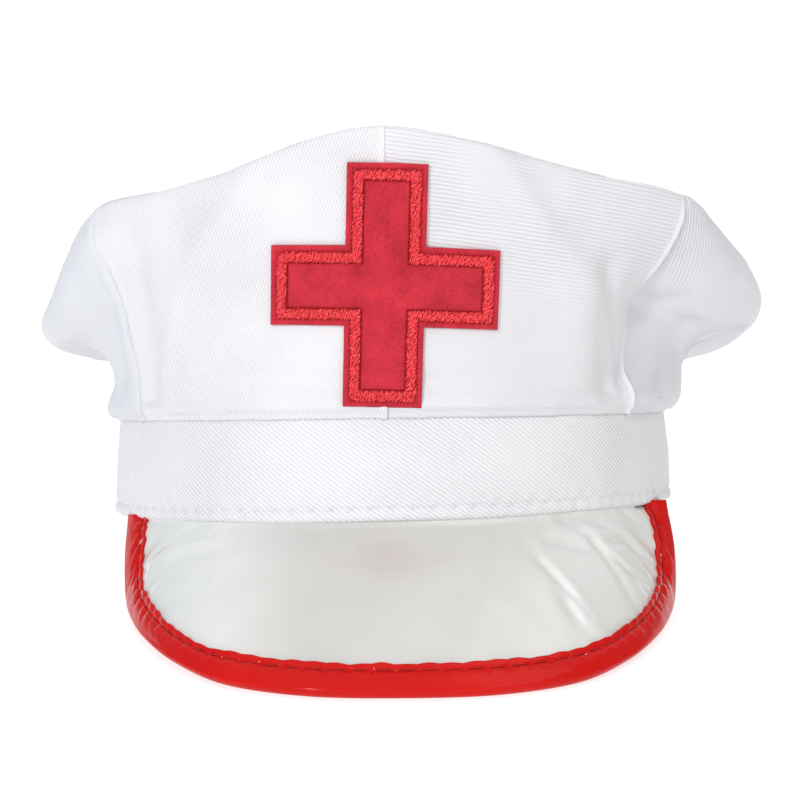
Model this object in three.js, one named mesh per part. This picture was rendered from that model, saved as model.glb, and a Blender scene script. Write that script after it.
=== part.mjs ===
// A nurse's peaked cap: a soft crown of white satin twill on an upright band, a white vinyl peak
// with a red binding, and a red cross patch sewn to the front.
// Millimetres, +Z up. The cap is built upright on its band, with its front towards -Y, and is then
// tipped back until it rests on the peak's front edge and the back of the band.
import * as THREE from "three";

// Band: an oval hoop of folded twill over a stiffener, a little wider at its lower edge. The cloth is
// sewn on slightly askew: on the cap's left its edges sit lower by the two skews, on its right higher.
const bandWidth = 182;
const bandDepth = 200;
const bandHeight = 30;
const bandWall = 2.4;
const bandFlare = 1.6;
const bandEdgeSkew = 2;
const bandTopSkew = 0.8;

// Crown: overall size at its widest line, called the rim here, and its heights above the band.
const crownSideOverhang = 32.5;
const crownFrontOverhang = 21;
const crownWidth = bandWidth + 2 * crownSideOverhang;
const crownDepth = bandDepth + 2 * crownFrontOverhang;
const crownFrontHeight = 79.7;
const crownMiddleHeight = 57;
const crownRoll = 3;
const clothWall = 1.2;

// The top of the crown: places from rim to middle as shares of the rim's radius, how close to the
// rim the sheet bends up to it and rolls over it, and how far past the rim the top's seam lies.
const topShares = [0.965, 0.88, 0.72, 0.5, 0.25, 0];
const rimPull = 3;
const rollSharpness = 24;
const topSeamPast = 0.7;

// Seams of the crown, as angles round the head from the front, and the gap left at each seam.
const centreSeam = -0.8;
const leftSeam = -54;
const rightSeam = 49;
const leftBackSeam = -112;
const rightBackSeam = 112;
const seamGap = 0.3;

// Folds of the crown: how deep and how wide a fold of share 1 is.
const foldDepth = 4;
const foldWidth = 9;

// Peak: its widest, how far it reaches and drops from the band, and how much it bows upwards.
const peakWidth = 172;
const peakShift = 2.2;
const peakReach = 41;
const peakDrop = 41;
const peakWall = 1.8;
const peakBow = 2.5;
const bindingWidth = 7.2;
const bindingWall = 0.7;

// Cross patch: felt, with a satin-stitched border standing on it.
const patchWidth = 63.4;
const patchHeight = 66.6;
const patchArm = 22;
const patchWall = 1.2;
const patchRise = 36;
const patchShift = -1.75;
const patchTurn = -1.8;
const borderInset = 1.65;
const borderWidth = 3.2;
const borderRise = 0.8;

// How the crown leaves the band at one place: eight points from band to rim. "out" is a share of the
// overhang there and "up" a share of the rim's height there.
const profiles = {
  front: {
    out: [0, 0.16, 0.3, 0.46, 0.63, 0.8, 0.93, 1],
    up: [0, 0.08, 0.2, 0.36, 0.54, 0.72, 0.88, 1],
  },
  leftCorner: {
    out: [0, 0.14, 0.18, 0.32, 0.44, 0.7, 1, 1],
    up: [0, 0.08, 0.22, 0.38, 0.56, 0.72, 0.86, 1],
  },
  leftShoulder: {
    out: [0, 0.2, 0.12, 0.24, 0.5, 0.86, 1.06, 1],
    up: [0, 0.07, 0.24, 0.4, 0.52, 0.62, 0.8, 1],
  },
  leftBag: {
    out: [0, 0.19, 0.07, 0.2, 0.62, 0.98, 1.14, 1],
    up: [0, 0.07, 0.34, 0.55, 0.62, 0.69, 0.84, 1],
  },
  rightCorner: {
    out: [0, 0.13, -0.04, -0.02, 0.1, 0.62, 0.92, 1],
    up: [0, 0.08, 0.2, 0.36, 0.54, 0.72, 0.87, 1],
  },
  rightShoulder: {
    out: [0, 0.18, 0.16, 0.18, 0.36, 0.74, 1, 1],
    up: [0, 0.07, 0.24, 0.39, 0.5, 0.6, 0.8, 1],
  },
  rightBag: {
    out: [0, 0.18, 0.22, 0.26, 0.58, 0.9, 1.08, 1],
    up: [0, 0.07, 0.28, 0.46, 0.58, 0.66, 0.83, 1],
  },
  back: {
    out: [0, 0.16, 0.2, 0.4, 0.64, 0.84, 0.97, 1],
    up: [0, 0.12, 0.3, 0.42, 0.52, 0.64, 0.82, 1],
  },
};

// The crown's sections round the head. "reach" is the rim's distance from the middle as a share of
// the crown's oval, and "height" its height as a share of crownFrontHeight.
const sections = [
  { azimuth: -180, reach: 1.0, height: 0.28, profile: "back" },
  { azimuth: -150, reach: 1.0, height: 0.3, profile: "back" },
  { azimuth: -125, reach: 0.995, height: 0.35, profile: "leftBag" },
  { azimuth: -105, reach: 0.965, height: 0.4, profile: "leftBag" },
  { azimuth: -88, reach: 0.93, height: 0.46, profile: "leftBag" },
  { azimuth: -72, reach: 0.9, height: 0.585, profile: "leftShoulder" },
  { azimuth: -54, reach: 0.907, height: 0.785, profile: "leftCorner" },
  { azimuth: -38, reach: 0.915, height: 0.812, profile: "front" },
  { azimuth: -24, reach: 0.93, height: 0.857, profile: "front" },
  { azimuth: -12, reach: 0.955, height: 0.942, profile: "front" },
  { azimuth: -0.8, reach: 0.975, height: 0.995, profile: "front" },
  { azimuth: 10, reach: 0.955, height: 0.946, profile: "front" },
  { azimuth: 22, reach: 0.93, height: 0.892, profile: "front" },
  { azimuth: 36, reach: 0.925, height: 0.843, profile: "front" },
  { azimuth: 49, reach: 0.945, height: 0.812, profile: "rightCorner" },
  { azimuth: 66, reach: 0.943, height: 0.67, profile: "rightShoulder" },
  { azimuth: 84, reach: 0.982, height: 0.53, profile: "rightBag" },
  { azimuth: 102, reach: 0.995, height: 0.41, profile: "rightBag" },
  { azimuth: 125, reach: 1.0, height: 0.34, profile: "rightBag" },
  { azimuth: 150, reach: 1.0, height: 0.3, profile: "back" },
];

// Creases of the cloth. Each runs between two places, given by azimuth and by rise, which is 0 at the
// band, 1 at the rim and 2 at the middle of the top. A share above 0 is a hollow, below 0 a ridge.
const folds = [
  { fromAzimuth: 43, fromRise: 0.08, toAzimuth: 37, toRise: 0.62, depth: 0.75, width: 0.75 },
  { fromAzimuth: 31, fromRise: 0.5, toAzimuth: 13, toRise: 0.98, depth: -0.3, width: 1.0 },
  { fromAzimuth: -40, fromRise: 0.1, toAzimuth: -20, toRise: 0.95, depth: -0.35, width: 1.1 },
  { fromAzimuth: -49, fromRise: 0.15, toAzimuth: -45, toRise: 0.75, depth: 0.45, width: 0.8 },
  { fromAzimuth: 52, fromRise: 0.56, toAzimuth: 68, toRise: 0.6, depth: 0.7, width: 0.55 },
  { fromAzimuth: 62, fromRise: 0.1, toAzimuth: 66, toRise: 0.5, depth: 0.4, width: 0.7 },
  { fromAzimuth: -66, fromRise: 0.1, toAzimuth: -62, toRise: 0.5, depth: 0.35, width: 0.8 },
  { fromAzimuth: -48, fromRise: 1.12, toAzimuth: -110, toRise: 1.5, depth: 0.9, width: 1.8 },
  { fromAzimuth: 44, fromRise: 1.12, toAzimuth: 104, toRise: 1.5, depth: 0.8, width: 1.7 },
  { fromAzimuth: 140, fromRise: 0.3, toAzimuth: 146, toRise: 1.05, depth: 0.6, width: 1.0 },
  { fromAzimuth: -138, fromRise: 0.3, toAzimuth: -146, toRise: 1.05, depth: 0.7, width: 1.1 },
  { fromAzimuth: 176, fromRise: 0.25, toAzimuth: 172, toRise: 1.1, depth: 0.4, width: 1.0 },
];

// The peak's sections for one half. "seat" is the azimuth of its sewn edge; the outer edge is
// "across" shares of half the peak's width and "forward" shares of its front distance from the
// middle; "lift" is how far that edge has risen from the table towards the band.
const peakSections = [
  { seat: 0, across: 0, forward: 1, lift: 0 },
  { seat: 12, across: 0.3, forward: 0.985, lift: 0 },
  { seat: 23, across: 0.56, forward: 0.92, lift: 0 },
  { seat: 31, across: 0.73, forward: 0.805, lift: 0 },
  { seat: 37, across: 0.85, forward: 0.665, lift: 0 },
  { seat: 42, across: 0.925, forward: 0.53, lift: 0 },
  { seat: 45, across: 0.962, forward: 0.44, lift: 0.06 },
  { seat: 48, across: 0.978, forward: 0.395, lift: 0.3 },
  { seat: 51, across: 0.985, forward: 0.36, lift: 0.6 },
  { seat: 54, across: 0.987, forward: 0.325, lift: 0.97 },
];

// Mesh steps.
const degreesPerStep = 5;
const wallSteps = 13;
const topSteps = 8;
const topSpacing = 0.8;
const peakSteps = 40;
const peakInnerSteps = 4;
const patchCell = 8;

const radians = THREE.MathUtils.degToRad;
const finishes = {
  twill: new THREE.MeshStandardMaterial({ color: 0xf3f3f6, roughness: 0.55, metalness: 0 }),
  vinyl: new THREE.MeshStandardMaterial({ color: 0xe4e5df, roughness: 0.25, metalness: 0 }),
  patent: new THREE.MeshStandardMaterial({ color: 0xd8201f, roughness: 0.12, metalness: 0 }),
  felt: new THREE.MeshStandardMaterial({ color: 0xd93046, roughness: 0.9, metalness: 0 }),
  thread: new THREE.MeshStandardMaterial({ color: 0xe3262c, roughness: 0.45, metalness: 0 }),
};

// A smooth curve through the rows of a table: the value at "at", where keys rise from row to row.
function smooth(keys, values, at) {
  const last = keys.length - 1;
  let row = 0;
  while (row < last - 1 && at > keys[row + 1]) row++;
  const slope = (k) => {
    const [a, b] = [Math.max(k - 1, 0), Math.min(k + 1, last)];
    return (values[b] - values[a]) / (keys[b] - keys[a]);
  };
  const span = keys[row + 1] - keys[row];
  const t = (at - keys[row]) / span;
  const [t2, t3] = [t * t, t * t * t];
  return (
    values[row] * (2 * t3 - 3 * t2 + 1) +
    slope(row) * span * (t3 - 2 * t2 + t) +
    values[row + 1] * (3 * t2 - 2 * t3) +
    slope(row + 1) * span * (t3 - t2)
  );
}

// An angle brought between -180 and 180 degrees.
const turned = (azimuth) => ((((azimuth + 180) % 360) + 360) % 360) - 180;

// The section table continued past the back of the head on both sides, so that it closes on itself.
const ringSections = [
  ...sections.slice(-3).map((row) => ({ ...row, azimuth: row.azimuth - 360 })),
  ...sections,
  ...sections.slice(0, 3).map((row) => ({ ...row, azimuth: row.azimuth + 360 })),
];
const ringAzimuths = ringSections.map((row) => row.azimuth);
const ringColumn = (pick) => {
  const values = ringSections.map(pick);
  return (azimuth) => smooth(ringAzimuths, values, turned(azimuth));
};
const rimReach = ringColumn((row) => row.reach);
const rimHeight = ringColumn((row) => row.height);
const profilePoints = profiles.front.out.map((_, k) => ({
  out: ringColumn((row) => profiles[row.profile].out[k]),
  up: ringColumn((row) => profiles[row.profile].up[k]),
}));

const ovalRadius = (width, depth, azimuth) =>
  1 / Math.hypot(Math.sin(radians(azimuth)) / (width / 2), Math.cos(radians(azimuth)) / (depth / 2));
const at = (azimuth, radius, height) =>
  new THREE.Vector3(radius * Math.sin(radians(azimuth)), -radius * Math.cos(radians(azimuth)), height);

// Band radius on its outside, at a height above its lower edge.
const bandRadius = (azimuth, height) =>
  ovalRadius(bandWidth, bandDepth, azimuth) + bandFlare * (1 - height / bandHeight);
const crownBase = bandHeight + seamGap;

// How far the skew lifts the band's lower or upper edge at one azimuth. It fades out behind the ears,
// so that the back of the band stands level.
const skewFade = { from: -0.95, to: -0.2 };
function skewed(skew, azimuth) {
  const [side, ahead] = [Math.sin(radians(azimuth)), Math.cos(radians(azimuth))];
  return skew * side * THREE.MathUtils.smoothstep(ahead, skewFade.from, skewFade.to);
}
const rimRadius = (azimuth) => ovalRadius(crownWidth, crownDepth, azimuth) * rimReach(azimuth);

// The crown's top: a tilted sheet from the high front to the low back, pulled to the rim's height at
// its edge. "share" is 0 at the middle and 1 at the rim.
const frontRim = crownBase + crownFrontHeight * rimHeight(0);
const backRim = crownBase + crownFrontHeight * rimHeight(-180);
const sheetSlope = (backRim - frontRim) / (rimRadius(0) + rimRadius(-180));
function topPoint(azimuth, share) {
  const radius = rimRadius(azimuth) * share;
  const middle = crownBase + crownMiddleHeight;
  const sheet = (r) => middle - sheetSlope * r * Math.cos(radians(azimuth));
  const rim = crownBase + crownFrontHeight * rimHeight(azimuth);
  const pull = (rim - sheet(rimRadius(azimuth))) * share ** rimPull;
  const roll = crownRoll * (1 - share ** rollSharpness) * share ** 2;
  return [radius, sheet(radius) + pull + roll];
}

// One section of the crown as knots: the wall's, then the top's, from band to middle.
const rimKnot = profiles.front.out.length - 1;
const lastKnot = rimKnot + topShares.length;
const topSeamKnot = rimKnot + topSeamPast;
const knotCache = new Map();
function knots(azimuth) {
  if (!knotCache.has(azimuth)) {
    const foot = bandRadius(azimuth, bandHeight);
    const overhang = rimRadius(azimuth) - foot;
    const height = crownFrontHeight * rimHeight(azimuth);
    const radiusAt = (p) => foot + overhang * p.out(azimuth);
    const heightAt = (p) => {
      const up = p.up(azimuth);
      return crownBase + height * up + skewed(bandTopSkew, azimuth) * (1 - up);
    };
    const wall = profilePoints.map((p) => [radiusAt(p), heightAt(p)]);
    knotCache.set(azimuth, [...wall, ...topShares.map((share) => topPoint(azimuth, share))]);
  }
  return knotCache.get(azimuth);
}
const knotKeys = Array.from({ length: lastKnot + 1 }, (_, k) => k);
function plainCrown(azimuth, knot) {
  const points = knots(azimuth);
  const [radius, height] = [0, 1].map((axis) => smooth(knotKeys, points.map((p) => p[axis]), knot));
  return at(azimuth, Math.max(radius, 0), height);
}
const riseOf = (knot) => (knot <= rimKnot ? knot / rimKnot : 1 + (knot - rimKnot) / (lastKnot - rimKnot));

// How far the folds push the cloth inwards at one place.
function foldAt(azimuth, knot, radius) {
  const rise = riseOf(knot);
  const perDegree = radians(1) * radius;
  const perRise = rise <= 1 ? crownFrontHeight : crownWidth / 2;
  return folds.reduce((sum, fold) => {
    const alongAzimuth = turned(fold.toAzimuth - fold.fromAzimuth) * perDegree;
    const alongRise = (fold.toRise - fold.fromRise) * perRise;
    const awayAzimuth = turned(azimuth - fold.fromAzimuth) * perDegree;
    const awayRise = (rise - fold.fromRise) * perRise;
    const share = (awayAzimuth * alongAzimuth + awayRise * alongRise) / (alongAzimuth ** 2 + alongRise ** 2);
    const near = THREE.MathUtils.clamp(share, 0, 1);
    const gap = Math.hypot(awayAzimuth - near * alongAzimuth, awayRise - near * alongRise);
    return sum + fold.depth * foldDepth * Math.exp(-((gap / (fold.width * foldWidth)) ** 2));
  }, 0);
}

// Outward direction of a surface given by two running values.
function outward(surface, a, b, stepA, stepB) {
  const alongA = surface(a + stepA, b).sub(surface(a - stepA, b));
  const alongB = surface(a, b + stepB).sub(surface(a, b - stepB));
  return alongA.cross(alongB).normalize();
}
const nudge = { degrees: 0.5, knots: 0.02, peak: 0.002, millimetres: 0.5 };

// The outside of the crown with its folds. They fade out at the band, where the cloth is sewn down.
function crownSurface(azimuth, knot) {
  const place = plainCrown(azimuth, knot);
  if (knot >= lastKnot) return place;
  const push = foldAt(azimuth, knot, Math.hypot(place.x, place.y)) * Math.min(knot, 1);
  const direction = outward(plainCrown, azimuth, Math.max(knot, nudge.knots), nudge.degrees, nudge.knots);
  return place.addScaledVector(direction, -push);
}
function crownInside(azimuth, knot) {
  const place = crownSurface(azimuth, knot);
  if (knot >= lastKnot) return place.setZ(place.z - clothWall);
  if (knot === 0) return at(azimuth, Math.hypot(place.x, place.y) - clothWall, place.z);
  return place.addScaledVector(outward(crownSurface, azimuth, knot, nudge.degrees, nudge.knots), -clothWall);
}

// A closed wall over a grid of cells, between an outer and an inner face. "ringed" joins the last
// column to the first, "tip" closes the last row to one point, and "filled" leaves cells out.
function wallOver(columns, rows, outer, inner, { ringed = false, tip = false, filled = () => true } = {}) {
  const positions = [];
  const faces = [];
  const found = new Map();
  const vertex = (side, i, j) => {
    const column = tip && j === rows ? 0 : ringed ? i % columns : i;
    const key = [side, column, j].join();
    if (!found.has(key)) {
      found.set(key, positions.length / 3);
      positions.push(...(side ? inner : outer)(column, j).toArray());
    }
    return found.get(key);
  };
  const quad = (a, b, c, d) => {
    for (const face of [[a, b, c], [a, c, d]]) if (new Set(face).size === 3) faces.push(...face);
  };
  const isFilled = (i, j) => {
    const column = ringed ? (i + columns) % columns : i;
    return column >= 0 && column < columns && j >= 0 && j < rows && filled(column, j);
  };
  for (let i = 0; i < columns; i++) {
    for (let j = 0; j < rows; j++) {
      if (!isFilled(i, j)) continue;
      const corners = [[i, j], [i + 1, j], [i + 1, j + 1], [i, j + 1]];
      const [a, b, c, d] = corners.map(([p, q]) => vertex(0, p, q));
      const [e, f, g, h] = corners.map(([p, q]) => vertex(1, p, q));
      quad(a, b, c, d);
      quad(e, h, g, f);
      if (!isFilled(i, j - 1)) quad(a, e, f, b);
      if (!isFilled(i + 1, j)) quad(b, f, g, c);
      if (!isFilled(i, j + 1) && !(tip && j === rows - 1)) quad(c, g, h, d);
      if (!isFilled(i - 1, j)) quad(d, h, e, a);
    }
  }
  const geometry = new THREE.BufferGeometry();
  geometry.setAttribute("position", new THREE.Float32BufferAttribute(positions, 3));
  geometry.setIndex(faces);
  geometry.computeVertexNormals();
  return geometry;
}

function piece(name, geometry, finish) {
  const mesh = new THREE.Mesh(geometry, finish);
  mesh.name = name;
  return mesh;
}

// Band: one closed hoop. Its columns straddle the back of the head, so that it rests on a facet.
function headband() {
  const columns = Math.round(360 / degreesPerStep);
  const heights = [0, bandHeight / 2, bandHeight];
  const azimuth = (i) => -180 + (i + 0.5) * (360 / columns);
  const face = (depth) => (i, j) => {
    const skew = THREE.MathUtils.lerp(bandEdgeSkew, bandTopSkew, heights[j] / bandHeight);
    const radius = bandRadius(azimuth(i), heights[j]) - depth;
    return at(azimuth(i), radius, heights[j] + skewed(skew, azimuth(i)));
  };
  return wallOver(columns, heights.length - 1, face(0), face(bandWall), { ringed: true });
}

// Crown panels stand between two seams, from the band to the seam just over the rim. The seam round
// the top is twice as open as the others, because the cloth turns sharply there.
const seamHalfAngle = THREE.MathUtils.radToDeg(seamGap / 2 / (bandWidth / 2));
const seamHalfKnot = (azimuth) => {
  const [below, above] = [topSeamKnot - nudge.knots, topSeamKnot + nudge.knots];
  const perKnot = crownSurface(azimuth, above).distanceTo(crownSurface(azimuth, below)) / (above - below);
  return seamGap / perKnot;
};
function crownPanel(fromSeam, toSeam) {
  const [start, end] = [fromSeam + seamHalfAngle, toSeam - seamHalfAngle];
  const columns = Math.ceil((end - start) / degreesPerStep);
  const azimuth = (i) => THREE.MathUtils.lerp(start, end, i / columns);
  const knot = (i, j) => (j / wallSteps) * (topSeamKnot - seamHalfKnot(azimuth(i)));
  const outer = (i, j) => crownSurface(azimuth(i), knot(i, j));
  const inner = (i, j) => crownInside(azimuth(i), knot(i, j));
  return wallOver(columns, wallSteps, outer, inner);
}
function crownTop() {
  const columns = Math.round(360 / degreesPerStep);
  const azimuth = (i) => -180 + (i * 360) / columns;
  const start = (i) => topSeamKnot + seamHalfKnot(azimuth(i));
  const knot = (i, j) => THREE.MathUtils.lerp(start(i), lastKnot, (j / topSteps) ** topSpacing);
  const outer = (i, j) => crownSurface(azimuth(i), knot(i, j));
  const inner = (i, j) => crownInside(azimuth(i), knot(i, j));
  return wallOver(columns, topSteps, outer, inner, { ringed: true, tip: true });
}

// Peak: a bowed sheet between its sewn edge under the band and its outer edge, which lies in the
// plane that the cap rests on.
const bandBack = bandDepth / 2 + bandFlare;
const peakFront = bandBack + peakReach;
const edgeThickness = peakWall + seamGap + bindingWall;
const restSlope = (peakDrop + edgeThickness) / (bandBack + peakFront);
const otherHalf = peakSections.slice(1).map((row) => ({ ...row, seat: -row.seat, across: -row.across }));
const peakRows = [...otherHalf.reverse(), ...peakSections];
const peakKeys = peakRows.map((_, k) => k / (peakRows.length - 1));
const peakColumn = (pick) => {
  const values = peakRows.map(pick);
  return (along) => smooth(peakKeys, values, along);
};
const [peakSeat, peakAcross, peakForward, peakLift] = ["seat", "across", "forward", "lift"].map((name) =>
  peakColumn((row) => row[name]),
);
function peakOuterEdge(along) {
  const [x, y] = [peakShift + (peakAcross(along) * peakWidth) / 2, -peakForward(along) * peakFront];
  const drop = (restSlope * (bandBack - y) - edgeThickness) * (1 - peakLift(along));
  const follow = peakLift(along) * skewed(bandEdgeSkew, THREE.MathUtils.radToDeg(Math.atan2(x, -y)));
  return new THREE.Vector3(x, y, follow - Math.max(drop, seamGap));
}
function peakSewnEdge(along) {
  const azimuth = peakSeat(along);
  return at(azimuth, bandRadius(azimuth, 0) - bandWall / 4, skewed(bandEdgeSkew, azimuth) - seamGap);
}
// "inwards" is the distance from the outer edge towards the band.
function peakSurface(along, inwards) {
  const edge = peakOuterEdge(along);
  const ruling = peakSewnEdge(along).sub(edge);
  const share = inwards / ruling.length();
  const arch = 4 * share * (1 - share);
  const bow = peakBow * arch * (1 - peakLift(along));
  return edge.addScaledVector(ruling, share).add(new THREE.Vector3(0, 0, bow));
}
// Outward direction of the peak. Towards its two ends, where it hangs from the band as a skirt and
// its sheet narrows to nothing, the direction turns level, square to the sheet's own spread.
const skirtLift = 0.45;
function peakOutward(along, inwards) {
  const spread = peakSewnEdge(along).sub(peakOuterEdge(along));
  const side = Math.sign(along - 0.5) || 1;
  const level = new THREE.Vector3(-spread.y, spread.x, 0).multiplyScalar(side).normalize();
  const inside = THREE.MathUtils.clamp(along, nudge.peak, 1 - nudge.peak);
  const facing = outward(peakSurface, inside, inwards, nudge.peak, nudge.millimetres);
  return facing.lerp(level, THREE.MathUtils.smoothstep(peakLift(along), 0, skirtLift)).normalize();
}
const bindingRows = [0, bindingWidth / 2, bindingWidth];
function peak() {
  const along = (i) => i / peakSteps;
  const inwards = (i, j) => {
    if (j < bindingRows.length) return bindingRows[j];
    const length = peakSewnEdge(along(i)).distanceTo(peakOuterEdge(along(i)));
    return THREE.MathUtils.lerp(bindingWidth, length, (j - bindingRows.length + 1) / peakInnerSteps);
  };
  const outer = (i, j) => peakSurface(along(i), inwards(i, j));
  const inner = (i, j) => outer(i, j).addScaledVector(peakOutward(along(i), inwards(i, j)), -peakWall);
  return wallOver(peakSteps, bindingRows.length - 1 + peakInnerSteps, outer, inner);
}

// Binding: a folded strip round the peak's outer edge, above it, past its edge and below it.
function peakBinding() {
  const beyond = seamGap + bindingWall;
  const above = seamGap;
  const below = -peakWall - seamGap;
  const rounded = { over: bindingWall * 0.6, past: beyond - bindingWall * 0.3 };
  const loop = [
    ...bindingRows.toReversed().map((inwards) => ({ inwards, near: above, far: above + bindingWall })),
    { inwards: -seamGap, near: above, far: above + rounded.over, past: rounded.past },
    { inwards: -seamGap, near: -peakWall / 2, far: -peakWall / 2, past: beyond },
    { inwards: -seamGap, near: below, far: below - rounded.over, past: rounded.past },
    ...bindingRows.map((inwards) => ({ inwards, near: below, far: below - bindingWall })),
  ];
  const along = (i) => i / peakSteps;
  const place = (i, inwards, height) => {
    const point = peakSurface(along(i), Math.max(inwards, 0));
    const edge = peakSurface(along(i), 0);
    const back = peakSurface(along(i), 1).sub(edge).normalize();
    if (inwards < 0) point.addScaledVector(back, inwards);
    return point.addScaledVector(peakOutward(along(i), Math.max(inwards, 0)), height);
  };
  const reach = (row) => (row.past === undefined ? row.inwards : -row.past);
  const outer = (i, j) => place(i, reach(loop[j]), loop[j].far);
  const inner = (i, j) => place(i, loop[j].inwards, loop[j].near);
  const mirrored = (face) => (i, j) => face(peakSteps - i, j);
  return wallOver(peakSteps, loop.length - 1, mirrored(outer), mirrored(inner));
}

// The point of the crown's front at a sideways place and a height, found by stepping towards it.
const search = { steps: 40, stride: 0.8 };
function crownFrontAt(x, z) {
  let azimuth = THREE.MathUtils.radToDeg(Math.asin(x / (crownDepth / 2)));
  let knot = (rimKnot * (z - crownBase)) / crownFrontHeight;
  for (let step = 0; step < search.steps; step++) {
    const here = crownSurface(azimuth, knot);
    azimuth += (search.stride * THREE.MathUtils.radToDeg(x - here.x)) / -here.y;
    knot += (search.stride * (z - here.z) * rimKnot) / crownFrontHeight;
  }
  return [azimuth, knot];
}

// Patch: a cross of cells on the crown's front. Its grid lines run along the cross's own edges.
function patchLines(length) {
  const [half, arm] = [length / 2, patchArm / 2];
  const marks = [arm - borderInset - borderWidth, arm - borderInset, arm];
  marks.push(half - borderInset - borderWidth, half - borderInset, half);
  const span = [-marks[0], ...marks];
  const lines = [...marks.slice(1).reverse().map((m) => -m), -marks[0]];
  for (let k = 1; k < span.length; k++) {
    const steps = Math.max(1, Math.round((span[k] - span[k - 1]) / patchCell));
    for (let s = 1; s <= steps; s++) lines.push(THREE.MathUtils.lerp(span[k - 1], span[k], s / steps));
  }
  return lines;
}
function inCross(x, y, inset) {
  const arm = patchArm / 2 - inset;
  const inUpright = Math.abs(x) < arm && Math.abs(y) < patchHeight / 2 - inset;
  const inCrossbar = Math.abs(y) < arm && Math.abs(x) < patchWidth / 2 - inset;
  return inUpright || inCrossbar;
}
function patchLayer(bottom, thickness, filled) {
  const [xs, ys] = [patchLines(patchWidth), patchLines(patchHeight)];
  const turn = radians(patchTurn);
  const point = (i, j, height) => {
    const x = patchShift + xs[i] * Math.cos(turn) - ys[j] * Math.sin(turn);
    const z = crownBase + patchRise + xs[i] * Math.sin(turn) + ys[j] * Math.cos(turn);
    const [azimuth, knot] = crownFrontAt(x, z);
    const direction = outward(crownSurface, azimuth, knot, nudge.degrees, nudge.knots);
    return crownSurface(azimuth, knot).addScaledVector(direction, height);
  };
  return wallOver(
    xs.length - 1,
    ys.length - 1,
    (i, j) => point(i, j, bottom + thickness),
    (i, j) => point(i, j, bottom),
    { filled: (i, j) => filled((xs[i] + xs[i + 1]) / 2, (ys[j] + ys[j + 1]) / 2) },
  );
}
const crossPatch = () => patchLayer(seamGap * 2, patchWall, (x, y) => inCross(x, y, 0));
const crossBorder = () =>
  patchLayer(
    seamGap * 3 + patchWall,
    borderRise,
    (x, y) => inCross(x, y, borderInset) && !inCross(x, y, borderInset + borderWidth),
  );

const cap = new THREE.Group();
const band = piece("headband", headband(), finishes.twill);
const binding = piece("peak_binding", peakBinding(), finishes.patent);
cap.add(
  band,
  piece("crown_front_left", crownPanel(leftSeam, centreSeam), finishes.twill),
  piece("crown_front_right", crownPanel(centreSeam, rightSeam), finishes.twill),
  piece("crown_side_left", crownPanel(leftBackSeam, leftSeam), finishes.twill),
  piece("crown_side_right", crownPanel(rightSeam, rightBackSeam), finishes.twill),
  piece("crown_back", crownPanel(rightBackSeam, leftBackSeam + 360), finishes.twill),
  piece("crown_top", crownTop(), finishes.twill),
  piece("peak", peak(), finishes.vinyl),
  binding,
  piece("cross_patch", crossPatch(), finishes.felt),
  piece("cross_border", crossBorder(), finishes.thread),
);

// Tip the cap back until the peak's binding and the back of the band lie on the table together, and
// set the origin under the middle of its bounding box.
const boxOf = (object) => {
  cap.updateMatrixWorld(true);
  return new THREE.Box3().setFromObject(object, true);
};
const tipSteps = 4;
cap.rotation.x = -Math.atan(restSlope);
for (let step = 0; step < tipSteps; step++) {
  cap.rotation.x += (boxOf(binding).min.z - boxOf(band).min.z) / (bandBack + peakFront);
}
const box = boxOf(cap);
cap.position.set(-(box.min.x + box.max.x) / 2, -(box.min.y + box.max.y) / 2, -box.min.z);

const nurseCap = new THREE.Group();
nurseCap.add(cap);
export default nurseCap;
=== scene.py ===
import math

import bmesh
import bpy
import mathutils
import numpy as np
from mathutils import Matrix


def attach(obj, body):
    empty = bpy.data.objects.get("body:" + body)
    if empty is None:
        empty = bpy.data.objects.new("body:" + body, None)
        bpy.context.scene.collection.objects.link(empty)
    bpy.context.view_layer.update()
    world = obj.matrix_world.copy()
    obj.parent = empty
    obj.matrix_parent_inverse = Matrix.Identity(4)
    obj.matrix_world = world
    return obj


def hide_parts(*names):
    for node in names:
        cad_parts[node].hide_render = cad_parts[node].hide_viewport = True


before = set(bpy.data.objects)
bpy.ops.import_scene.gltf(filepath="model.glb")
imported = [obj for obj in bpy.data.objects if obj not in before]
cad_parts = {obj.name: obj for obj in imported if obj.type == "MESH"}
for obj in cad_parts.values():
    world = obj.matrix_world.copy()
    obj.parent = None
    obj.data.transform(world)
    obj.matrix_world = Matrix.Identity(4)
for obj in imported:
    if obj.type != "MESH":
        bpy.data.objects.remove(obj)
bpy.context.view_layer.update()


# Headband: an upright oval hoop of white satin twill, folded round a stiffener. Its lower edge is
# turned up inside and held by one row of topstitching, and crown and peak are sewn to its edges.
BAND_WIDTH, BAND_DEPTH, BAND_HEIGHT = 182, 200, 30
BAND_WALL, BAND_FLARE = 2.4, 1.6
BAND_MEAN_RADIUS = 95
BAND_EDGE_SKEW, BAND_TOP_SKEW = 2, 0.8
SEAM_GAP = 0.3
HEM_HEIGHT = 3.7
BAND_STITCH = {"pitch": 5.5, "length": 4.1, "width": 0.5, "thickness": 0.42}
TIP_ANGLE = math.radians(10.0988)
REST_SHIFT = (-2.3356, 10.2208, 17.7947)
TWILL_WHITE = (0.775, 0.772, 0.788)
TWILL_SHADE = (0.655, 0.655, 0.68)
RIB_PITCH = 1.3


def at_rest(points):
    """Millimetres in the upright cap's own frame, turned to metres where the tipped cap rests."""
    x, y, z = (points[..., k] for k in range(3))
    c, s = math.cos(TIP_ANGLE), math.sin(TIP_ANGLE)
    turned_back = (x, c * y + s * z, c * z - s * y)
    return np.stack([p + q for p, q in zip(turned_back, REST_SHIFT)], -1) / 1000


def round_head(azimuth, radius, height):
    angle = np.radians(azimuth)
    parts = np.broadcast_arrays(radius * np.sin(angle), -radius * np.cos(angle), height)
    return np.stack(parts, -1).astype(float)


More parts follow.
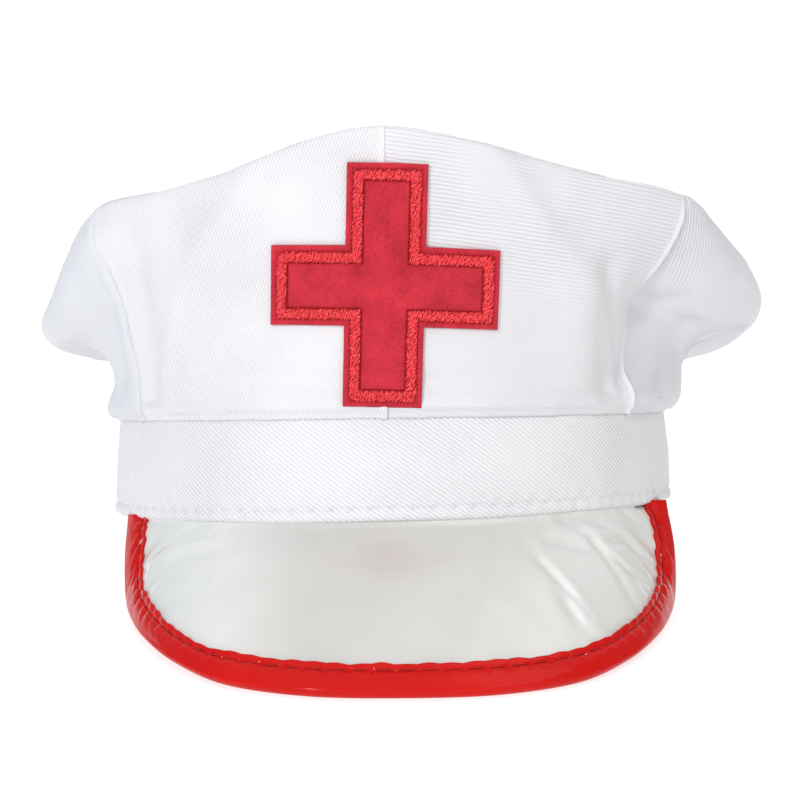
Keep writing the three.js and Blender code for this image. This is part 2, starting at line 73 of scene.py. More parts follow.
def eased(share):
    """Smooth step from 0 to 1, level at both ends and past them."""
    share = np.clip(share, 0, 1)
    return share * share * (3 - 2 * share)


def oval_radius(width, depth, azimuth):
    angle = np.radians(azimuth)
    return 1 / np.hypot(np.sin(angle) / (width / 2), np.cos(angle) / (depth / 2))


def band_radius(azimuth, height):
    return oval_radius(BAND_WIDTH, BAND_DEPTH, azimuth) + BAND_FLARE * (1 - height / BAND_HEIGHT)


def skewed(skew, azimuth):
    """How far the band's slight skew lifts one of its edges. It fades out behind the ears."""
    angle = np.radians(azimuth)
    return skew * np.sin(angle) * eased((np.cos(angle) + 0.95) / 0.75)


def dent(distance, width):
    return np.exp(-((distance / width) ** 2))


def crumple(u, v, size, seed):
    """Smooth uneven waves of about one size in millimetres, from -1 to 1."""
    lattice = np.random.default_rng(seed).uniform(-1, 1, (97, 97))
    a, b = np.broadcast_arrays(np.asarray(u, float) / size, np.asarray(v, float) / size)
    i, j = np.floor(a).astype(int), np.floor(b).astype(int)
    s, t = eased(a - i), eased(b - j)
    corner = lambda p, q: lattice[(i + p) % 97, (j + q) % 97]
    low = corner(0, 0) * (1 - s) + corner(1, 0) * s
    high = corner(0, 1) * (1 - s) + corner(1, 1) * s
    return low * (1 - t) + high * t


def unit(arrows):
    return arrows / np.maximum(np.linalg.norm(arrows, axis=-1, keepdims=True), 1e-9)


def facing_out(grid, ringed=False):
    """Unit normals of a grid of points that runs round the head in i and upwards in j."""
    wide = np.concatenate([grid[-1:], grid, grid[:1]]) if ringed else grid
    along = np.gradient(wide, axis=0)
    along = along[1:-1] if ringed else along
    return unit(np.cross(along, np.gradient(grid, axis=1)))


def run_along(grid, axis):
    """Length run through a grid of points from its first row or column, in millimetres."""
    steps = np.linalg.norm(np.diff(grid, axis=axis), axis=-1)
    start = np.zeros_like(np.take(steps, [0], axis=axis))
    return np.concatenate([start, np.cumsum(steps, axis=axis)], axis=axis)


def piece_from(name, points, faces, uv, finish, node=None, ribs=None):
    """One mesh piece from points of the upright cap, its faces and a pattern place for each point.
    "ribs" says how strongly the cloth's ribs show at each point."""
    mesh = bpy.data.meshes.new(name)
    mesh.from_pydata(at_rest(points).tolist(), [], faces)
    layer = mesh.uv_layers.new(name="cloth")
    corners = np.empty(len(mesh.loops), dtype=np.int32)
    mesh.loops.foreach_get("vertex_index", corners)
    layer.data.foreach_set("uv", uv[corners].astype(np.float32).ravel())
    if ribs is not None:
        strengths = mesh.attributes.new("ribs", "FLOAT", "POINT")
        strengths.data.foreach_set("value", ribs.astype(np.float32).ravel())
    shaped = bmesh.new()
    shaped.from_mesh(mesh)
    bmesh.ops.remove_doubles(shaped, verts=shaped.verts, dist=2e-6)
    shaped.to_mesh(mesh)
    shaped.free()
    mesh.shade_smooth()
    mesh.materials.append(finish)
    piece = bpy.data.objects.new(name, mesh)
    bpy.context.scene.collection.objects.link(piece)
    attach(piece, "root")
    if node:
        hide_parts(node)
    return piece


def loop_faces(count, around, ringed):
    """Quads of a closed section of "around" points, carried along "count" places; ends are closed."""
    index = np.arange(count * around).reshape(count, around)
    here, there = (index, np.roll(index, -1, 0)) if ringed else (index[:-1], index[1:])
    quads = [here, there, np.roll(there, -1, 1), np.roll(here, -1, 1)]
    return np.stack([q.ravel() for q in quads], -1).tolist()


def wall_faces(count, rows, ringed):
    """Quads of a closed wall: an outer and an inner sheet of count x rows points and its edges."""
    index = np.arange(count * rows).reshape(count, rows)
    under = index + count * rows
    here, there = (index, np.roll(index, -1, 0)) if ringed else (index[:-1], index[1:])
    back, fore = here + count * rows, there + count * rows
    sets = [
        (here[:, :-1], there[:, :-1], there[:, 1:], here[:, 1:]),
        (back[:, :-1], back[:, 1:], fore[:, 1:], fore[:, :-1]),
        (here[:, 0], back[:, 0], fore[:, 0], there[:, 0]),
        (there[:, -1], fore[:, -1], back[:, -1], here[:, -1]),
    ]
    if not ringed:
        sets.append((index[0, :-1], index[0, 1:], under[0, 1:], under[0, :-1]))
        sets.append((index[-1, 1:], index[-1, :-1], under[-1, :-1], under[-1, 1:]))
    return np.concatenate([np.stack([q.ravel() for q in s], -1) for s in sets]).tolist()


def shell_from(name, outer, inner, uv, ringed, finish, node, ribs=None):
    """A closed wall between two sheets of points, with one pattern for both."""
    faces = [list(dict.fromkeys(face)) for face in wall_faces(*outer.shape[:2], ringed)]
    points = np.concatenate([outer.reshape(-1, 3), inner.reshape(-1, 3)])
    ribs = None if ribs is None else np.tile(ribs.ravel(), 2)
    return piece_from(name, points, faces, np.tile(uv.reshape(-1, 2), (2, 1)), finish, node, ribs)


def new_finish(name, **settings):
    """A material with its own nodes. Values that are the same all over sit on the shader itself."""
    finish = bpy.data.materials.new(name)
    finish.use_nodes = True
    shader = finish.node_tree.nodes["Principled BSDF"]
    for socket, value in settings.items():
        shader.inputs[socket.replace("_", " ")].default_value = value
    return finish, finish.node_tree, shader


def node(tree, kind, inputs=(), **settings):
    made = tree.nodes.new(kind)
    for key, value in settings.items():
        setattr(made, key, value)
    for key, value in dict(inputs).items():
        if isinstance(value, bpy.types.NodeSocket):
            tree.links.new(value, made.inputs[key])
        else:
            made.inputs[key].default_value = value
    return made


def sum_of(tree, kind, a, b):
    return node(tree, "ShaderNodeMath", {0: a, 1: b}, operation=kind).outputs[0]


def own_place(tree):
    return node(tree, "ShaderNodeTexCoord").outputs["Object"]


def noise(tree, place, scale, detail=2, **more):
    inputs = {"Vector": place, "Scale": scale, "Detail": detail, **more}
    return node(tree, "ShaderNodeTexNoise", inputs).outputs[0]


def bumped(tree, height, strength, distance):
    inputs = {"Height": height, "Strength": strength, "Distance": distance}
    return node(tree, "ShaderNodeBump", inputs).outputs[0]


def eased_range(tree, value, start, end):
    inputs = {0: value, 1: start, 2: end}
    return node(tree, "ShaderNodeMapRange", inputs, interpolation_type="SMOOTHSTEP").outputs[0]


def join(tree, shader, **sockets):
    for socket, value in sockets.items():
        tree.links.new(value, shader.inputs[socket.replace("_", " ")])


def between(tree, share, low, high):
    made = node(tree, "ShaderNodeMix", {0: share}, data_type="RGBA")
    made.inputs[6].default_value = (*low, 1)
    made.inputs[7].default_value = (*high, 1)
    return made.outputs[2]


def ranged(tree, value, low, high):
    return node(tree, "ShaderNodeMapRange", {0: value, 3: low, 4: high}).outputs[0]


def twill_finish(name, tone):
    """White satin twill: fine slanting ribs whose valleys are painted darker as painted shade, a soft sheen
    and slightly uneven cloth. Its satin face is painted a tone darker where the grain is turned from
    the light, as painted shade."""
    finish, tree, shader = new_finish(
        name, Sheen_Weight=0.18, Sheen_Roughness=0.45, IOR=1.45, Specular_IOR_Level=0.35
    )
    place = node(tree, "ShaderNodeUVMap", uv_map="cloth").outputs[0]
    body = own_place(tree)
    wobble, grain = noise(tree, place, 0.09), noise(tree, place, 2.4, 3)
    patches, pressed = noise(tree, body, 38, 3), noise(tree, body, 26)
    across = node(tree, "ShaderNodeSeparateXYZ", {0: place}).outputs[0]
    bent = sum_of(tree, "ADD", across, sum_of(tree, "MULTIPLY", wobble, 0.8))
    turns = sum_of(tree, "MULTIPLY", bent, 2 * math.pi / RIB_PITCH)
    shown = node(tree, "ShaderNodeAttribute", attribute_name="ribs").outputs["Fac"]
    kept = sum_of(tree, "MAXIMUM", ranged(tree, pressed, -1.4, 3.2), 0.1)
    strength = sum_of(tree, "MULTIPLY", shown, kept)
    rib = sum_of(tree, "MULTIPLY", sum_of(tree, "SINE", turns, 0), strength)
    rough_rib = sum_of(tree, "ADD", rib, sum_of(tree, "MULTIPLY", grain, 1.5))
    # Colour: the ribs' valleys are painted darker as painted shade, mixed with random patches of darker tone.
    rib_shade_and_patches = ranged(tree, sum_of(tree, "ADD", rib, ranged(tree, patches, 0.2, 0.9)), 0, 1)
    shade, white = ([c * t for c, t in zip(tint, tone)] for tint in (TWILL_SHADE, TWILL_WHITE))
    join(
        tree, shader, Base_Color=between(tree, rib_shade_and_patches, shade, white),
        Roughness=ranged(tree, patches, 0.38, 0.56), Normal=bumped(tree, rough_rib, 0.6, 0.00011),
    )
    return finish


def slanted(u, v, slant, pitch):
    """Pattern place for ribs that run at a slant: first across the ribs, then along them."""
    c, s = math.cos(math.radians(slant)), math.sin(math.radians(slant))
    return np.stack([u * -s + v * c, u * c + v * s], -1) * RIB_PITCH / pitch


def stitch_tree():
    """Geometry nodes that lay one stitch at each point of a mesh, along and facing as it says."""
    tree = bpy.data.node_groups.new("sewn_stitches", "GeometryNodeTree")
    add = tree.interface.new_socket
    add("Places", in_out="INPUT", socket_type="NodeSocketGeometry")
    for name in ("Length", "Width", "Thickness", "Unevenness"):
        add(name, in_out="INPUT", socket_type="NodeSocketFloat")
    add("Thread", in_out="INPUT", socket_type="NodeSocketMaterial")
    add("Stitches", in_out="OUTPUT", socket_type="NodeSocketGeometry")
    given = node(tree, "NodeGroupInput").outputs
    size = node(tree, "ShaderNodeCombineXYZ", {0: given["Length"], 1: given["Width"], 2: given["Thickness"]})
    ball = node(tree, "GeometryNodeMeshUVSphere", {"Segments": 6, "Rings": 4, "Radius": 0.5})
    lengthwise = {"Geometry": ball.outputs[0], "Rotation": (0, math.pi / 2, 0)}
    lying = node(tree, "GeometryNodeTransform", lengthwise)
    stitch = node(tree, "GeometryNodeTransform", {"Geometry": lying.outputs[0], "Scale": size.outputs[0]})
    read = [
        node(tree, "GeometryNodeInputNamedAttribute", {"Name": name}, data_type="FLOAT_VECTOR").outputs[0]
        for name in ("along", "facing")
    ]
    laid = node(tree, "FunctionNodeAlignRotationToVector", {"Vector": read[0]}, axis="X")
    faced = node(
        tree, "FunctionNodeAlignRotationToVector", {"Rotation": laid.outputs[0], "Vector": read[1]},
        axis="Z", pivot_axis="X",
    )
    least = sum_of(tree, "SUBTRACT", 1.0, given["Unevenness"])
    most = sum_of(tree, "ADD", 1.0, given["Unevenness"])
    uneven = node(tree, "FunctionNodeRandomValue", {2: least, 3: most, "Seed": 7})
    placed = node(
        tree, "GeometryNodeInstanceOnPoints",
        {
            "Points": given["Places"], "Instance": stitch.outputs[0],
            "Rotation": faced.outputs[0], "Scale": uneven.outputs[1],
        },
    )
    real = node(tree, "GeometryNodeRealizeInstances", {"Geometry": placed.outputs[0]})
    round_ = node(tree, "GeometryNodeSetShadeSmooth", {"Geometry": real.outputs[0]})
    threaded = {"Geometry": round_.outputs[0], "Material": given["Thread"]}
    dressed = node(tree, "GeometryNodeSetMaterial", threaded)
    node(tree, "NodeGroupOutput", {0: dressed.outputs[0]})
    return tree


def sew(name, places, along, facing, sizes, thread, uneven=0.08):
    """A row of stitches at given places of the upright cap, as one plain mesh."""
    mesh = bpy.data.meshes.new(name)
    mesh.from_pydata(at_rest(places).tolist(), [], [])
    origin = at_rest(np.zeros(3))
    for title, arrows in (("along", along), ("facing", facing)):
        values = mesh.attributes.new(title, "FLOAT_VECTOR", "POINT")
        values.data.foreach_set("vector", ((at_rest(arrows) - origin) * 1000).astype(np.float32).ravel())
    row = bpy.data.objects.new(name, mesh)
    bpy.context.scene.collection.objects.link(row)
    sewing = row.modifiers.new("sewing", "NODES")
    sewing.node_group = STITCHES
    sizes = {k.title(): v / 1000 for k, v in sizes.items() if k != "pitch"}
    settings = {**sizes, "Unevenness": uneven, "Thread": thread}
    for item in STITCHES.interface.items_tree:
        if item.name in settings:
            sewing[item.identifier] = settings[item.name]
    shown = row.evaluated_get(bpy.context.evaluated_depsgraph_get())
    plain = bpy.data.meshes.new_from_object(shown)
    row.modifiers.remove(sewing)
    row.data = plain
    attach(row, "root")
    return row


STITCHES = stitch_tree()
WHITE_TWILL = twill_finish("white_twill", (1, 1, 1))
THREAD_WHITE, _tree, _shader = new_finish("white_thread", Roughness=0.5, Sheen_Weight=0.2)
_twist = node(_tree, "ShaderNodeTexWave", {"Vector": own_place(_tree), "Scale": 900}).outputs[1]
join(_tree, _shader, Base_Color=between(_tree, _twist, (0.68, 0.69, 0.72), (0.82, 0.825, 0.84)))


def band_section():
    """Points round the band's cut edge: how far out from its face, and how high."""
    half = BAND_WALL / 2
    face = np.concatenate([np.arange(half, 6, 0.4), np.arange(6, BAND_HEIGHT - half, 0.7)])
    bend = np.radians(np.arange(0, 181, 22.5))
    top = np.stack([half * np.cos(bend) - half, BAND_HEIGHT - half + (half - 0.1) * np.sin(bend) ** 0.35], -1)
    inside = np.stack([np.full(9, -BAND_WALL), np.linspace(BAND_HEIGHT - half - 1, half + 1, 9)], -1)
    low = np.stack([-half * np.cos(bend) - half, half - half * np.sin(bend)], -1)
    return np.concatenate([np.stack([face * 0, face], -1), top, inside, low[:-1]])


band_out, band_up = band_section().T
band_azimuth = np.linspace(-180, 180, 641)
azimuth, out = np.meshgrid(band_azimuth, band_out, indexing="ij")
up = np.broadcast_to(band_up, azimuth.shape)
run = np.radians(azimuth) * BAND_MEAN_RADIUS
from_join = np.radians(180 - np.abs(azimuth)) * BAND_MEAN_RADIUS
off_join = np.clip(from_join / 12, 0, 1)
outer_side = np.clip((out + BAND_WALL) / BAND_WALL, 0, 1)
between_stitches = np.cos(2 * np.pi * run / BAND_STITCH["pitch"])
soft = 0.28 * crumple(run, up * 1.4, 26, 3) + 0.12 * crumple(run, up * 1.2, 9, 4)
soft = soft * np.clip((BAND_HEIGHT - up) / 7, 0, 1) * off_join
hem = 0.35 * dent(up - 1.6, 1.7) - dent(up - HEM_HEIGHT, 0.75) * (0.42 + 0.2 * between_stitches)
pucker = 0.14 * between_stitches * dent(up - 5.6, 1.6) - 0.12 * between_stitches * dent(up - 1.8, 1.4)
belly = 0.5 * np.sin(np.pi * up / BAND_HEIGHT) - 0.15 * dent(up - BAND_HEIGHT, 2)
back_seam = 0.2 * dent(from_join - 3, 2) - 0.4 * dent(from_join, 0.9)
out = out + outer_side * (soft + hem + pucker + belly + back_seam)
up = up + 0.25 * crumple(run, 0, 30, 5) * dent(up, 4) * off_join
skew = skewed(BAND_EDGE_SKEW + (BAND_TOP_SKEW - BAND_EDGE_SKEW) * up / BAND_HEIGHT, azimuth)
grid = round_head(azimuth, band_radius(azimuth, up) + out, up + skew)
piece_from(
    "headband_cloth", grid.reshape(-1, 3), loop_faces(*azimuth.shape, ringed=False),
    slanted(run, up, -38, 1.1).reshape(-1, 2), WHITE_TWILL, "headband",
    ribs=1.1 - 0.95 * dent(azimuth + 76, 26),
)
turns = np.arange(-180, 180, 360 * BAND_STITCH["pitch"] / (2 * math.pi * BAND_MEAN_RADIUS))
hem_line = lambda a: round_head(a, band_radius(a, HEM_HEIGHT) - 0.28, HEM_HEIGHT + skewed(BAND_EDGE_SKEW, a))
sew(
    "headband_stitches", hem_line(turns), hem_line(turns + 0.2) - hem_line(turns - 0.2),
    round_head(turns, 1, 0), BAND_STITCH, THREAD_WHITE,
)


# Crown: a soft, wide crown of the same twill, cut as two front panels, two sides, a back and a top.
# The panels are sewn to each other and to the band, and a stiffener holds the two front panels up.
CROWN_WIDTH, CROWN_DEPTH = 247, 242
CROWN_FRONT_HEIGHT, CROWN_MIDDLE_HEIGHT = 79.7, 57
CROWN_ROLL, CLOTH_WALL = 3, 1.2
TOP_SHARES = np.array([0.965, 0.88, 0.72, 0.5, 0.25, 0])
RIM_PULL, ROLL_SHARPNESS, TOP_SEAM_PAST = 3, 24, 0.7
CENTRE_SEAM, LEFT_SEAM, RIGHT_SEAM, LEFT_BACK_SEAM, RIGHT_BACK_SEAM = -0.8, -54, 49, -112, 112
FOLD_DEPTH, FOLD_WIDTH = 4, 9
# How the crown leaves the band: shares of the overhang, then shares of the rim's height.
PROFILES = {
    "front": ((0, 0.16, 0.3, 0.46, 0.63, 0.8, 0.93, 1), (0, 0.08, 0.2, 0.36, 0.54, 0.72, 0.88, 1)),
    "left_corner": ((0, 0.14, 0.18, 0.32, 0.44, 0.7, 1, 1), (0, 0.08, 0.22, 0.38, 0.56, 0.72, 0.86, 1)),
    "left_shoulder": ((0, 0.2, 0.12, 0.24, 0.5, 0.86, 1.06, 1), (0, 0.07, 0.24, 0.4, 0.52, 0.62, 0.8, 1)),
    "left_bag": ((0, 0.19, 0.07, 0.2, 0.62, 0.98, 1.14, 1), (0, 0.07, 0.34, 0.55, 0.62, 0.69, 0.84, 1)),
    "right_corner": ((0, 0.13, -0.04, -0.02, 0.1, 0.62, 0.92, 1), (0, 0.08, 0.2, 0.36, 0.54, 0.72, 0.87, 1)),
    "right_shoulder": ((0, 0.18, 0.16, 0.18, 0.36, 0.74, 1, 1), (0, 0.07, 0.24, 0.39, 0.5, 0.6, 0.8, 1)),
    "right_bag": ((0, 0.18, 0.22, 0.26, 0.58, 0.9, 1.08, 1), (0, 0.07, 0.28, 0.46, 0.58, 0.66, 0.83, 1)),
    "back": ((0, 0.16, 0.2, 0.4, 0.64, 0.84, 0.97, 1), (0, 0.12, 0.3, 0.42, 0.52, 0.64, 0.82, 1)),
}
# Round the head: azimuth, reach and height as shares of the crown's oval and front height, profile.
SECTIONS = [
    (-180, 1.0, 0.28, "back"), (-150, 1.0, 0.3, "back"), (-125, 0.995, 0.35, "left_bag"),
    (-105, 0.965, 0.4, "left_bag"), (-88, 0.93, 0.46, "left_bag"), (-72, 0.9, 0.585, "left_shoulder"),
    (-54, 0.907, 0.771, "left_corner"), (-38, 0.915, 0.797, "front"), (-24, 0.93, 0.849, "front"),
    (-12, 0.955, 0.938, "front"), (-0.8, 0.975, 0.978, "front"), (10, 0.955, 0.941, "front"),
    (22, 0.93, 0.884, "front"), (36, 0.925, 0.829, "front"), (49, 0.945, 0.798, "right_corner"),
    (66, 0.943, 0.67, "right_shoulder"), (84, 0.982, 0.53, "right_bag"), (102, 0.995, 0.41, "right_bag"),
    (125, 1.0, 0.34, "right_bag"), (150, 1.0, 0.3, "back"),
]
# Main folds: azimuth and rise where each starts and ends (rise is 0 at the band, 1 at the rim and 2
# at the middle of the top), then shares of the fold's depth and width. Below 0 is a ridge.
FOLDS = [
    (43, 0.08, 37, 0.62, 0.75, 0.75), (31, 0.5, 13, 0.98, -0.3, 1.0), (-40, 0.1, -20, 0.95, -0.35, 1.1),
    (-49, 0.15, -45, 0.75, 0.45, 0.8), (52, 0.56, 68, 0.6, 0.7, 0.55), (62, 0.1, 66, 0.5, 0.4, 0.7),
    (-66, 0.1, -62, 0.5, 0.35, 0.8), (-64, 1.28, -110, 1.5, 0.9, 1.5), (56, 1.26, 104, 1.5, 0.8, 1.4),
    (140, 0.3, 146, 1.05, 0.6, 1.0), (-138, 0.3, -146, 1.05, 0.7, 1.1), (176, 0.25, 172, 1.1, 0.4, 1.0),
]
# Small creases of the cloth: the places that each runs through, then its depth and width in
# millimetres. Below 0 is a ridge.
CREASES = [
    ([(-16, 0.98), (-28.5, 0.78), (-35.5, 0.59), (-39.5, 0.41), (-43.5, 0.28), (-44, 0.1)], -0.7, 4.5),
    ([(14, 1.0), (24, 0.73), (31, 0.62), (38, 0.52), (43, 0.34), (44, 0.06)], -0.7, 4.0),
    ([(36, 0.64), (41.5, 0.5), (46, 0.34), (46.8, 0.06)], 0.8, 2.6),
    ([(-37, 0.27), (-23, 0.25), (-9, 0.22), (9, 0.215), (28, 0.23)], 0.3, 2.5),
    ([(51, 0.575), (55.5, 0.59), (58.5, 0.66), (66, 0.7)], 0.9, 2.6),
    ([(51, 0.5), (56, 0.5), (63, 0.56)], -0.6, 3.0),
    ([(84, 0.72), (81, 0.67), (78, 0.58), (78.5, 0.46), (82.5, 0.36)], -2.1, 1.2),
    ([(94, 0.68), (88, 0.58), (84, 0.48), (88, 0.34)], 4.5, 4.5),
    ([(52, 0.56), (60, 0.58), (68, 0.6)], -1.4, 5.0),
    ([(-57, 0.9), (-60, 0.7), (-58, 0.5), (-57, 0.3)], -0.5, 3.5),
    ([(-60, 0.42), (-70, 0.5), (-80, 0.56)], 0.7, 4.0), ([(-62, 0.2), (-72, 0.3)], -0.6, 4.0),
    ([(-83.5, 0.62), (-85.5, 0.47)], 0.7, 1.6), ([(57, 0.2), (66, 0.32), (70, 0.4)], 0.7, 3.5),
    ([(-30, 0.06), (-44, 0.12)], 0.4, 3.0), ([(20, 0.07), (38, 0.12)], 0.4, 3.0),
    ([(-52, 0.97), (-40, 0.9), (-30, 0.92)], 0.5, 4.0), ([(100, 0.3), (112, 0.55), (120, 0.9)], 0.9, 5.0),
    ([(-104, 0.3), (-116, 0.6), (-122, 0.9)], 0.9, 5.0), ([(160, 0.25), (168, 0.6)], 0.8, 4.0),
    ([(-162, 0.2), (-170, 0.55)], 0.8, 4.0), ([(128, 0.2), (134, 0.6)], -0.7, 4.0),
]
# How each panel meets its seams, at its left and its right side: how far its edge sinks and over what
# width, then the height, place and width of the swelling beside it, all in millimetres.
SEAM_EDGES = {
    "front_left": ((0.3, 0.6, 0.15, 2.2, 1.5), (0.0, 0.5, 0.5, 1.0, 1.3)),
    "front_right": ((0.1, 1.0, 0.0, 2.0, 1.5), (0.0, 0.35, 0.95, 0.4, 0.55)),
    "side_left": ((0.3, 0.8, 0.25, 2.2, 1.8), (0.25, 0.6, 0.65, 2.7, 2.2)),
    "side_right": ((0.7, 1.5, 0.0, 3.0, 2.0), (0.3, 0.8, 0.25, 2.2, 1.8)),
    "back": ((0.3, 0.8, 0.25, 2.2, 1.8), (0.3, 0.8, 0.25, 2.2, 1.8)),
}
# Painted shade: the front-right panel and the top use a copy of the twill painted a tone darker, and the
# sides and back a copy painted darker and a little bluish, for how the light falls on them.
TURNED_SHADED_TWILL = twill_finish("white_twill_turned_painted_shade", (0.94, 0.94, 0.95))
SIDE_SHADED_TWILL = twill_finish("white_twill_sides_painted_shade", (0.91, 0.925, 0.95))
PANEL_CLOTHS = {"front_left": WHITE_TWILL, "front_right": TURNED_SHADED_TWILL}
# How strongly the ribs show on each panel: near the band and near the rim, then the azimuths between
# which they fade out, from gone to full.
RIB_FADES = {
    "front_left": (0.75, 1.1, -58, -38), "front_right": (0.08, 1.1, 58, 26),
    "side_left": (0.35, 0.6, -50, -98), "side_right": (0.1, 1.8, 76, 55), "back": (0.9, 1.0, 0, 90),
}
PATCH_WIDTH, PATCH_HEIGHT, PATCH_ARM = 63.4, 66.6, 22
PATCH_RISE, PATCH_SHIFT, PATCH_TURN = 36, -1.75, math.radians(-1.8)


def curve(t, start, end, leaving, arriving):
    """Smooth curve from one value to the next, with the slope at which it leaves and arrives."""
    t2, t3 = t * t, t * t * t
    low = start * (2 * t3 - 3 * t2 + 1) + leaving * (t3 - 2 * t2 + t)
    return low + end * (3 * t2 - 2 * t3) + arriving * (t3 - t2)


def smooth_table(keys, values, where):
    """The smooth curve through the rows of a table."""
    keys, values = np.asarray(keys, float), np.asarray(values, float)
    ends = np.arange(len(keys))
    before, after = np.maximum(ends - 1, 0), np.minimum(ends + 1, len(keys) - 1)
    slope = (values[after] - values[before]) / (keys[after] - keys[before])
    row = np.clip(np.searchsorted(keys, where) - 1, 0, len(keys) - 2)
    span = keys[row + 1] - keys[row]
    leaving, arriving = slope[row] * span, slope[row + 1] * span
    return curve((where - keys[row]) / span, values[row], values[row + 1], leaving, arriving)


def turned(azimuth):
    return (np.asarray(azimuth, float) + 180) % 360 - 180


RING = [(r[0] - 360, *r[1:]) for r in SECTIONS[-3:]] + SECTIONS + [(r[0] + 360, *r[1:]) for r in SECTIONS[:3]]
RING_KEYS = [row[0] for row in RING]
round_ring = lambda values, azimuth: smooth_table(RING_KEYS, values, turned(azimuth))
rim_height = lambda azimuth: round_ring([row[2] for row in RING], azimuth)
rim_share = lambda azimuth: round_ring([row[1] for row in RING], azimuth)
rim_radius = lambda azimuth: oval_radius(CROWN_WIDTH, CROWN_DEPTH, azimuth) * rim_share(azimuth)
CROWN_BASE = BAND_HEIGHT + SEAM_GAP
RIM_KNOT = 7
LAST_KNOT = RIM_KNOT + len(TOP_SHARES)
TOP_SEAM_KNOT = RIM_KNOT + TOP_SEAM_PAST
SHEET_SLOPE = CROWN_FRONT_HEIGHT * (rim_height(-180) - rim_height(0)) / (rim_radius(0) + rim_radius(-180))


def crown_knots(azimuth):
    """Radius and height of each knot of the crown's section, from the band to the middle."""
    foot, rim, tall = band_radius(azimuth, BAND_HEIGHT), rim_radius(azimuth), rim_height(azimuth)
    radii, heights = [], []
    for k in range(RIM_KNOT + 1):
        out = round_ring([PROFILES[row[3]][0][k] for row in RING], azimuth)
        up = round_ring([PROFILES[row[3]][1][k] for row in RING], azimuth)
        radii.append(foot + (rim - foot) * out)
        lean = skewed(BAND_TOP_SKEW, azimuth) * (1 - up)
        heights.append(CROWN_BASE + CROWN_FRONT_HEIGHT * tall * up + lean)
    sheet = lambda r: CROWN_BASE + CROWN_MIDDLE_HEIGHT - SHEET_SLOPE * r * np.cos(np.radians(azimuth))
    for share in TOP_SHARES:
        pull = (CROWN_BASE + CROWN_FRONT_HEIGHT * tall - sheet(rim)) * share**RIM_PULL
        roll = CROWN_ROLL * (1 - share**ROLL_SHARPNESS) * share**2
        radii.append(rim * share)
        heights.append(sheet(rim * share) + pull + roll)
    return np.stack(radii), np.stack(heights)


def plain_crown(azimuth, knot):
    azimuth, knot = np.broadcast_arrays(np.asarray(azimuth, float), np.asarray(knot, float))
    row = np.clip(np.ceil(knot).astype(int) - 1, 0, LAST_KNOT - 1)
    found = []
    for values in crown_knots(azimuth):
        pick = lambda k: np.take_along_axis(values, np.clip(k, 0, LAST_KNOT)[None], 0)[0]
        spread = lambda k: np.minimum(k + 1, LAST_KNOT) - np.maximum(k - 1, 0)
        slope = lambda k: (pick(k + 1) - pick(k - 1)) / spread(k)
        found.append(curve(knot - row, pick(row), pick(row + 1), slope(row), slope(row + 1)))
    return round_head(azimuth, np.maximum(found[0], 0), found[1])


def cloth_gap(azimuth, knot, radius, start, end):
    """Distance over the cloth from a straight run between two places, in millimetres."""
    rise = np.where(knot <= RIM_KNOT, knot / RIM_KNOT, 1 + (knot - RIM_KNOT) / (LAST_KNOT - RIM_KNOT))
    per_degree = math.radians(1) * radius
    per_rise = np.where(rise <= 1, CROWN_FRONT_HEIGHT, CROWN_WIDTH / 2)
    along_a, along_r = turned(end[0] - start[0]) * per_degree, (end[1] - start[1]) * per_rise
    away_a, away_r = turned(azimuth - start[0]) * per_degree, (rise - start[1]) * per_rise
    share = (away_a * along_a + away_r * along_r) / np.maximum(along_a**2 + along_r**2, 1e-9)
    near = np.clip(share, 0, 1)
    return np.hypot(away_a - near * along_a, away_r - near * along_r)


def folded_in(azimuth, knot, radius):
    """How far the main folds push the cloth inwards."""
    runs = [(cloth_gap(azimuth, knot, radius, row[0:2], row[2:4]), row[4], row[5]) for row in FOLDS]
    return sum(depth * FOLD_DEPTH * dent(gap, width * FOLD_WIDTH) for gap, depth, width in runs)


def creased_in(azimuth, knot, radius):
    """How far the small creases push the cloth inwards; each fades towards its two ends."""
    total = np.zeros_like(radius)
    for places, depth, width in CREASES:
        gaps = [cloth_gap(azimuth, knot, radius, a, b) for a, b in zip(places, places[1:])]
        nearest = np.minimum.reduce(gaps)
        tips = np.minimum(*(cloth_gap(azimuth, knot, radius, e, e) for e in (places[0], places[-1])))
        total += depth * dent(nearest, width) * (0.35 + 0.65 * np.clip(tips / (3 * width), 0, 1))
    return total


def out_of(surface, a, b, step_a, step_b):
    sideways = surface(a + step_a, b) - surface(a - step_a, b)
    return unit(np.cross(sideways, surface(a, b + step_b) - surface(a, b - step_b)))


def crown_skin(azimuth, knot):
    """Outside of the crown with its main folds, as the solid model has it."""
    azimuth, knot = np.broadcast_arrays(np.asarray(azimuth, float), np.asarray(knot, float))
    place = plain_crown(azimuth, knot)
    push = folded_in(azimuth, knot, np.hypot(place[..., 0], place[..., 1]))
    push = push * np.clip(knot, 0, 1) * (knot < LAST_KNOT)
    facing = out_of(plain_crown, azimuth, np.clip(knot, 0.02, LAST_KNOT - 0.03), 0.5, 0.02)
    return place - push[..., None] * facing


def patch_place(x, z):
    """Where a point of the crown's front lies in the cross's own sideways and upward lines."""
    c, s = math.cos(PATCH_TURN), math.sin(PATCH_TURN)
    dx, dz = x - PATCH_SHIFT, z - CROWN_BASE - PATCH_RISE
    return dx * c + dz * s, dz * c - dx * s


def box_gap(a, b, half_a, half_b):
    p, q = np.abs(a) - half_a, np.abs(b) - half_b
    return np.hypot(np.maximum(p, 0), np.maximum(q, 0)) + np.minimum(np.maximum(p, q), 0)


def cross_gap(a, b, inset=0.0):
    """Distance from the outline of the cross, or of a cross set in from it; below 0 inside it."""
    arm = PATCH_ARM / 2 - inset
    upright = box_gap(a, b, arm, PATCH_HEIGHT / 2 - inset)
    return np.minimum(upright, box_gap(a, b, PATCH_WIDTH / 2 - inset, arm))


